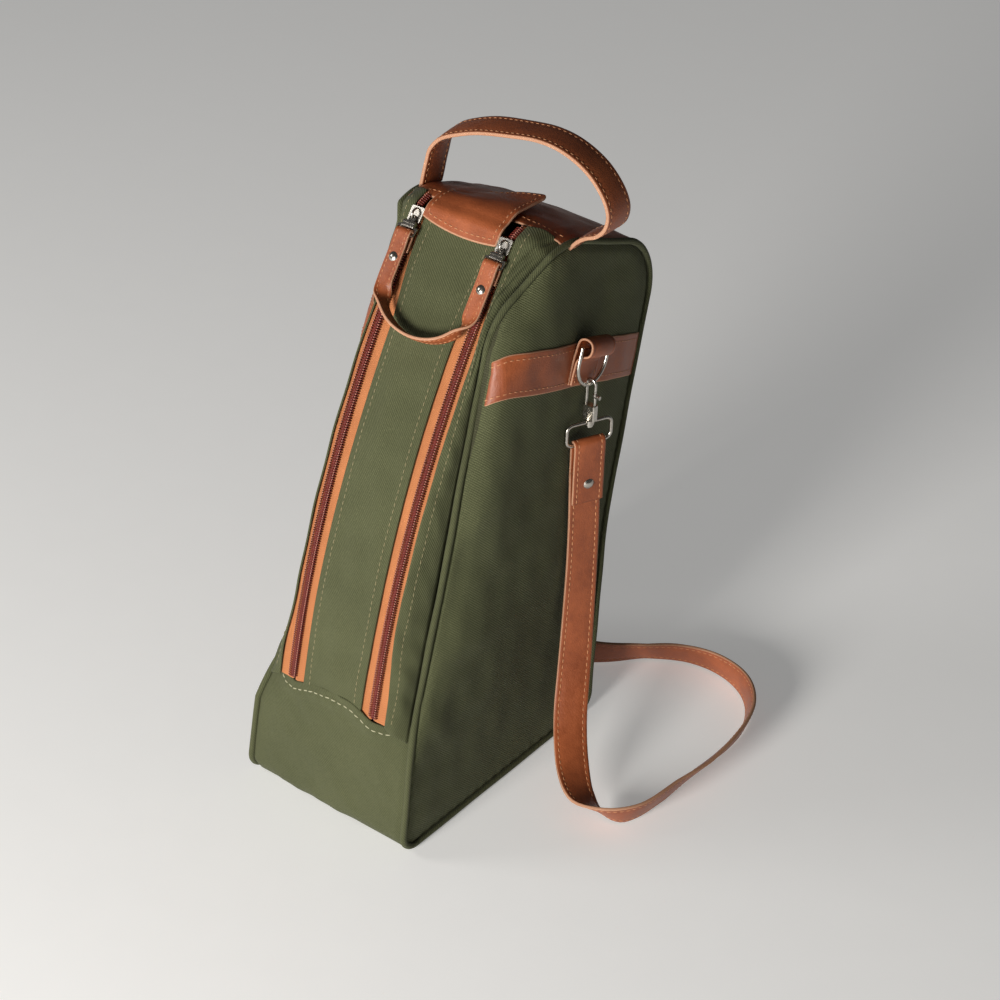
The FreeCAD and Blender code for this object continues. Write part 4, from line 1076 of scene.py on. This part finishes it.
def side_band(sign, side):
    """The leather band sewn across a side panel."""
    rim = Line(SIDE_LINE, closed=True, shift=-PIPE_R + 0.2)
    front_part, rear_part = rim.p[: len(rim.p) // 2], rim.p[len(rim.p) // 2:][::-1]
    grid = []
    for w in np.linspace(-BAND_TALL / 2, BAND_TALL / 2, 26):
        along = np.linspace(-130, 130, 2000)
        y, z = band_point(along, w)
        front, rear = (np.interp(z, part[:, 1], part[:, 0]) for part in (front_part, rear_part))
        inside = (y > front) & (y < rear)
        a0, a1 = along[inside][0] + BAND_LATE[sign], along[inside][-1]
        along = np.linspace(a0, a1, 150)
        y, z = band_point(along, w)
        gap = np.minimum(along - a0, a1 - along)
        depth = HALF_WIDTH - 0.2 + side_depth(y, z) * smooth(gap / CLOTH_EASE) + 1.4 * smooth(gap / 6)
        flat = np.stack([depth + 0.10 * waves(np.stack([0 * y, y, z], -1), 24, 91), y, z], -1)
        grid.append(SLUMP[sign].side(flat))
    grid = np.array(grid)
    grid = grid[::-1] if sign > 0 else grid * [-1, 1, 1]
    piece = slab(f"side_band_leather_{side}", grid, 1.7, LEATHER_FACES, "shell")
    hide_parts(f"side_band_{side}")
    up = normals_of(grid)
    rows = [(grid[k, 3:-3], up[k, 3:-3]) for k in (3, len(grid) - 4)]
    stitches(f"side_band_stitches_{side}", rows, TAN_THREAD, "shell", 4.6)


def ring_loop(sign, side):
    """The leather that holds the D-ring: rolled over its bar and sewn down on the band."""
    angle = math.radians(BAND_SLOPE)
    base = HALF_WIDTH + 2.6
    roll = [(base, -13.5), (base, -6), (base, 2), (base + 0.4, 9.5), (LOOP_X - 4.9, 19.0),
            (LOOP_X, 21.6), (LOOP_X + 4.9, 19.8), (LOOP_X + 6.4, 15.0), (LOOP_X + 4.6, 10.4),
            (LOOP_X - 0.5, 8.2), (base + 3.0, 4.5), (base + 2.3, -2), (base + 2.2, -13.0)]
    flat = catmull([(x, 0, w) for x, w in roll], 1.2)
    y, z = band_point(LOOP_ALONG, flat[:, 2])
    path = np.stack([flat[:, 0], y, z], -1) * [sign, 1, 1]
    across = np.tile([0, math.cos(angle), math.sin(angle)], (len(path), 1))
    piece = strap(f"ring_loop_leather_{side}", path, across, *LOOP_SIZE, STRAP_FACES, "shell", groove=3.0)
    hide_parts(f"ring_loop_{side}")
    rows = strap_rows(path[-9:], across[-9:], *LOOP_SIZE, 3.0)
    stitches(f"ring_loop_stitches_{side}", rows, TAN_THREAD, "shell", 4.2)


# ---------------------------------------------------------------- welts
def welt(sign, side):
    """The piped seam round one side; it lies straight on the floor."""
    s = np.linspace(0, SIDE.length, 900, endpoint=False)
    p, n = SIDE.at(s), SIDE.out(s)
    lift = smooth((p[:, 1] - 6.0) / 12.0)
    wobble = (0.28 * np.sin(s / 23.0 + sign) + 0.16 * np.sin(s / 9.0)) * lift
    x = sign * (PIPE_X + 0.25 * np.sin(s / 31.0) * lift)
    path = slumped(np.concatenate([x[:, None], p + n * wobble[:, None]], -1), 1.0)
    radius = PIPE_R * (1 + 0.04 * np.sin(s / 13.0))
    piece = tube(f"welt_{side}", path, radius, OLIVE, "shell", 14)
    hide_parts(f"piping_{side}")


# ---------------------------------------------------------------- pull strap
PULL_SIZE = (12.6, 2.2)                 # width and thickness
PULL_INSET = 2.4                        # rows of stitches from its edges
PULL_BAR = 1.2                          # middle of a link's lower bar, from the lower faces of its box
PULL_LEAN = 53.4
PULL_ARM, PULL_REACH = 30.0, 64.0       # from the bars to where the bend starts, and to its far side
# an end, folded over its bar: (down along the strap, outwards) of its points
PULL_FOLD = [(12.0, -3.2), (6.0, -3.0), (1.5, -2.7), (-1.8, -1.4), (-2.6, 0.6), (-1.2, 2.2), (3.0, 2.2),
             (9.0, 1.4), (17.0, 1.0), (24.0, 0.8)]


def pull_strap():
    """A narrow stitched strap between the two links, flat under its rivets and on edge in its bend."""
    low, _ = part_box("pull_link_left")
    bar = np.array([0, low.y / MM + PULL_BAR, low.z / MM + PULL_BAR])
    lean = math.radians(PULL_LEAN)
    down = np.array([0, -math.cos(lean), -math.sin(lean)])
    out = np.array([0, -math.sin(lean), math.cos(lean)])
    turn = np.linspace(0, math.pi, 70)
    share = smooth((np.sin(turn) - 0.08) / 0.6)
    x = ZIP_X * np.cos(turn) + 3.0 * np.sin(turn) * np.cos(turn / 2)
    drop = PULL_ARM + (PULL_REACH - PULL_ARM) * np.sin(turn) ** 0.9
    path = bar + np.outer(x, [1, 0, 0]) + np.outer(drop, down) + np.outer(0.6 + 0.9 * share, out)
    flat = np.outer(np.sign(np.cos(turn)), [1, 0, 0])
    across = (1 - share)[:, None] * flat + share[:, None] * out
    fold = np.array(PULL_FOLD)
    fold_path = bar + np.outer(fold[:, 0], down) + np.outer(fold[:, 1], out)
    ends = [fold_path + [sign * ZIP_X, 0, 0] for sign in (1, -1)]
    ways = [np.tile([sign * 1.0, 0, 0], (len(fold), 1)) for sign in (1, -1)]
    whole = np.concatenate([ends[0], path, ends[1][::-1]])
    ways = np.concatenate([ways[0], across, ways[1]])
    both = catmull(np.concatenate([whole, ways], 1), 1.2)
    path, across = both[:, :3], both[:, 3:]
    piece = strap("pull_strap_leather", path, across, *PULL_SIZE, STRAP_FACES, "pull", groove=PULL_INSET,
                  crown=0.15)
    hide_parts("pull_strap")
    rows = strap_rows(path[8:-8], across[8:-8], *PULL_SIZE, PULL_INSET)
    stitches("pull_strap_stitches", rows, TAN_THREAD, "pull", 3.6, 0.72, 0.3)


# ---------------------------------------------------------------- the shoulder strap
# middle of the strap in metres and the direction across it, from its right end to its left end
ROUTE = [
    ((0.08183, 0.08085, 0.23912), (0.41, 0.91, 0)),
    ((0.0835, 0.0805, 0.200), (0.41, 0.91, 0)),
    ((0.0855, 0.0780, 0.158), (0.44, 0.90, 0)),
    ((0.0885, 0.0725, 0.116), (0.52, 0.85, 0)),
    ((0.0940, 0.0630, 0.077), (0.62, 0.78, 0)),
    ((0.1040, 0.0460, 0.046), (0.70, 0.71, 0)),
    ((0.1240, 0.0230, 0.024), (0.68, 0.72, -0.10)),
    ((0.1460, 0.0045, 0.0155), (0.40, 0.85, -0.35)),
    ((0.1700, 0.0055, 0.014), (-0.10, 0.60, -0.80)),
    ((0.1850, 0.0200, 0.014), (-0.42, 0.15, -0.90)),
    ((0.1890, 0.0580, 0.014), (-0.42, 0, -0.91)),
    ((0.1920, 0.0970, 0.014), (-0.62, 0, -0.78)),
    ((0.1930, 0.1350, 0.014), (-0.42, 0, -0.91)),
    ((0.1870, 0.1710, 0.014), (-0.25, -0.10, -0.96)),
    ((0.1660, 0.2000, 0.014), (-0.10, 0.05, -0.99)),
    ((0.1340, 0.2120, 0.014), (0, 0.25, -0.97)),
    ((0.1020, 0.2070, 0.014), (0, 0.45, -0.89)),
    ((0.0760, 0.1880, 0.014), (-0.25, 0.45, -0.86)),
    ((0.0520, 0.1630, 0.014), (-0.15, 0.25, -0.95)),
    ((0.0200, 0.1470, 0.014), (0, 0, -1)),
    ((-0.0180, 0.1430, 0.014), (0, 0, -1)),
    ((-0.0550, 0.1460, 0.014), (0, 0, -1)),
    ((-0.0880, 0.1420, 0.016), (-0.15, 0, -0.99)),
    ((-0.1060, 0.1210, 0.027), (-0.55, 0.20, -0.80)),
    ((-0.1070, 0.1030, 0.054), (-0.70, 0.60, -0.38)),
    ((-0.0990, 0.0920, 0.090), (-0.45, 0.88, 0)),
    ((-0.0910, 0.0850, 0.128), (-0.20, 0.98, 0)),
    ((-0.0860, 0.0810, 0.160), (0, 1, 0)),
    ((-0.0840, 0.0797, 0.192), (0, 1, 0)),
    ((-0.0816, 0.07975, 0.23912), (0, 1, 0)),
]


STRAP_MEET = (-10.0, 143.4)      # where the halves meet, behind the bag
STRAP_UPPER_Z = 145.0            # foot of the upper pieces
STRAP_TOP_Z = 190.0              # foot of the top pieces
STRAP_HUNG_Z = 214.0             # upper end of the top pieces' blend
STRAP_LYING_Z = 30.0             # lower end of the blend of the longest piece
STRAP_TURN = {"right": 24.0, "left": 0.0}       # the way that each end faces, from the side of the bag
STRAP_END_THICK = 2.1
# an end, folded over the swivel's bar: (towards its face, up) of its points
STRAP_FOLD = [(2.6, -48), (2.6, -40), (2.6, -28), (2.6, -14), (2.8, -5), (2.6, 0.4), (1.6, 2.4),
              (-0.2, 3.0), (-2.0, 2.0), (-2.8, -0.6), (-2.8, -8), (-2.7, -17), (-2.7, -24)]
STRAP_FITTINGS = ("swivel_loop", "strap_rivet", "snap_hook", "hook_bolt")


def strap_line():
    """Points along the route's smooth spline, in metres."""
    curve = bpy.data.curves.new("strap_route", "CURVE")
    curve.dimensions = "3D"
    spline = curve.splines.new("NURBS")
    spline.points.add(len(ROUTE) - 1)
    for point, (place, _) in zip(spline.points, ROUTE):
        point.co = (*place, 1)
    spline.order_u = 3
    spline.use_endpoint_u = True
    spline.resolution_u = 12
    holder = linked("strap_route", curve)
    bpy.context.view_layer.update()
    mesh = bpy.data.meshes.new_from_object(holder)
    points = np.array([v.co[:] for v in mesh.vertices])
    bpy.data.objects.remove(holder)
    return points


def shoulder_strap():
    """The strap is one length of leather. Its two halves meet behind the bag, and each is cut twice near
    its top, into three pieces."""
    line = resample(strap_line(), 0.004)
    knots = run_of(np.array([p for p, _ in ROUTE]))
    length = run_of(line)
    across = read(length / length[-1] * knots[-1], knots, np.array([w for _, w in ROUTE], float))
    path = line / MM
    behind = int(np.argmin(np.hypot(path[:, 0] - STRAP_MEET[0], path[:, 1] - STRAP_MEET[1])))
    halves = {"right": (path[:behind + 1], across[:behind + 1]),
              "left": (path[behind:][::-1], across[behind:][::-1])}
    for side, (places, widths) in halves.items():
        sign = 1 if side == "right" else -1
        upper, top = (int(np.argmax(places[:, 2] < z)) for z in (STRAP_UPPER_Z, STRAP_TOP_Z))
        # each piece: its points, which ends are capped, its two bodies, the heights of its blend
        spans = {"leather": (slice(upper, None), (False, False), "shell", f"ring_{side}",
                             STRAP_LYING_Z, STRAP_UPPER_Z - 4),
                 "upper": (slice(top, upper + 1), (False, False), f"ring_{side}", f"hook_{side}",
                           STRAP_UPPER_Z, STRAP_TOP_Z - 4),
                 "top": (slice(0, top + 1), (True, False), f"hook_{side}", f"swivel_{side}",
                         STRAP_TOP_Z, STRAP_HUNG_Z)}
        made = []
        for part, (span, capped, low, high, z0, z1) in spans.items():
            shape = places[span], widths[span], STRAP_WIDE, STRAP_THICK
            name = f"shoulder_strap_{part}"
            piece = strap(f"{name}_{side}", *shape, STRAP_FACES, None, capped=capped)
            rows = strap_rows(*shape)
            thread_and_highlight = stitches(f"{name}_stitches_{side}", rows, TAN_THREAD, None, 4.8)
            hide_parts("shoulder_strap")
            for cloth in (piece, thread_and_highlight):
                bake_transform(cloth)
            made += [piece, thread_and_highlight]
        fittings = [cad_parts[f"{kind}_{side}"] for kind in STRAP_FITTINGS]
        made[1:] + [strap_end(sign, side), *fittings]
    print("shoulder strap along its spline:", round(float(length[-1]), 3))


def strap_end(sign, side):
    """The end of the strap: folded over the swivel's bar, its tail riveted on the outside."""
    turn = math.radians(STRAP_TURN[side])
    face = np.array([math.cos(turn), -math.sin(turn), 0])
    wide = np.array([math.sin(turn), math.cos(turn), 0])
    bar = np.array([HANG[0], HANG[1], BUCKLE_Z])
    flat = catmull([(a, 0, b) for a, b in STRAP_FOLD], 1.5)
    path = (bar + np.outer(flat[:, 0], face) + np.outer(flat[:, 2], [0, 0, 1.0])) * [sign, 1, 1]
    across = np.tile(wide, (len(path), 1)) * [sign, 1, 1]
    body, size = f"swivel_{side}", (STRAP_WIDE, STRAP_END_THICK)
    piece = strap(f"strap_end_leather_{side}", path, across, *size, STRAP_FACES, body, crown=0.08)
    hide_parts(f"strap_end_{side}")
    rows = strap_rows(path, across, *size)
    stitches(f"strap_end_stitches_{side}", rows, TAN_THREAD, body, 4.6)
    return piece


# ---------------------------------------------------------------- metal and board
METAL = ("slider", "pull_link", "pull_rivets", "d_ring", "snap_hook", "hook_bolt", "swivel_loop",
         "strap_rivet")
SHARP = 38.0                     # edges that turn more than this stay sharp


def fittings():
    for name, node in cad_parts.items():
        material = NICKEL if name.startswith(METAL) else BOARD if name == "base_board" else None
        if material:
            node.data.materials.clear()
            node.data.materials.append(material)
            node.data.polygons.foreach_set("use_smooth", [True] * len(node.data.polygons))
            node.data.set_sharp_from_angle(angle=math.radians(SHARP))


# ---------------------------------------------------------------- camera, light, floor
CAMERA_PLACE = (0.86885, -1.06153, 1.10875)
CAMERA_TURNS = (39.3, 34.1, 0.4)             # round the bag, up, and about the line of sight
CAMERA_LENS, CAMERA_SHIFT = 82.44, (0.0764, 0.0452)


def camera():
    data = bpy.data.cameras.new("camera")
    data.lens, data.sensor_width = CAMERA_LENS, 36.0
    data.shift_x, data.shift_y = CAMERA_SHIFT
    az, el, roll = (math.radians(a) for a in CAMERA_TURNS)
    back = Vector((math.sin(az) * math.cos(el), -math.cos(az) * math.cos(el), math.sin(el)))
    x = Vector((0, 0, 1)).cross(back).normalized()
    y = back.cross(x)
    x, y = x * math.cos(roll) + y * math.sin(roll), y * math.cos(roll) - x * math.sin(roll)
    holder = linked("camera", data)
    holder.matrix_world = Matrix.Translation(CAMERA_PLACE) @ Matrix((x, y, back)).transposed().to_4x4()
    bpy.context.scene.camera = holder


def lamp(name, place, aim, size, power, colour=(1, 1, 1)):
    data = bpy.data.lights.new(name, "AREA")
    data.shape, data.size, data.energy, data.color = "DISK", size, power, colour
    holder = linked(name, data)
    holder.location = place
    holder.rotation_euler = (Vector(aim) - Vector(place)).to_track_quat("-Z", "Y").to_euler()


def studio():
    world = bpy.data.worlds.new("studio")
    world.use_nodes = True
    sky = world.node_tree.nodes["Background"].inputs
    sky[0].default_value = (1, 0.98, 0.95, 1)
    sky[1].default_value = 0.06
    bpy.context.scene.world = world
    lamp("key", (0.15, -2.05, 0.62), (0, 0, 0.18), 0.7, 54, (1, 0.97, 0.93))
    lamp("left", (-1.6, -1.2, 1.3), (0, 0, 0.2), 0.8, 9, (1, 0.98, 0.96))
    bpy.ops.mesh.primitive_plane_add(size=60, location=(0, 0, -0.0002))
    floor = bpy.context.object
    floor.name = "floor"
    m = Nodes("floor_paper", (0.86, 0.86, 0.85), 0.9, Emission_Color=(1, 1, 0.99, 1),
              Emission_Strength=0.24)
    m.colour(m.mix(m.noise(m.place(), 30.0, 2.0), (0.85, 0.85, 0.84), (0.88, 0.88, 0.87)))
    floor.data.materials.append(m.material)
    bpy.context.scene.view_settings.view_transform = "Standard"


def build():
    camera()
    studio()
    fittings()
    for sign, side in ((1, "right"), (-1, "left")):
        side_panel(sign, f"side_cloth_{side}")
        welt(sign, side)
        side_band(sign, side)
        ring_loop(sign, side)
        for part in ("inner", "outer"):
            zip_tape(sign, side, part)
            zip_coil(sign, side, part)
    rows = lower_front()
    stitches("lower_seam_stitches", rows, PALE_THREAD, "shell", 5.4, 0.78, 0.42)
    back_cloth()
    base_cloth()
    rows = front_strip(1, "front_cloth_right") + front_strip(-1, "front_cloth_left")
    stitches("front_strip_stitches", rows, OLIVE_THREAD, "shell", 4.8, 0.74, 0.34)
    rows = front_panel()
    stitches("front_panel_stitches", rows, OLIVE_THREAD, "front_flap", 4.8, 0.74, 0.34)
    yoke()
    tab()
    handle()
    pull_strap()
    shoulder_strap()


build()
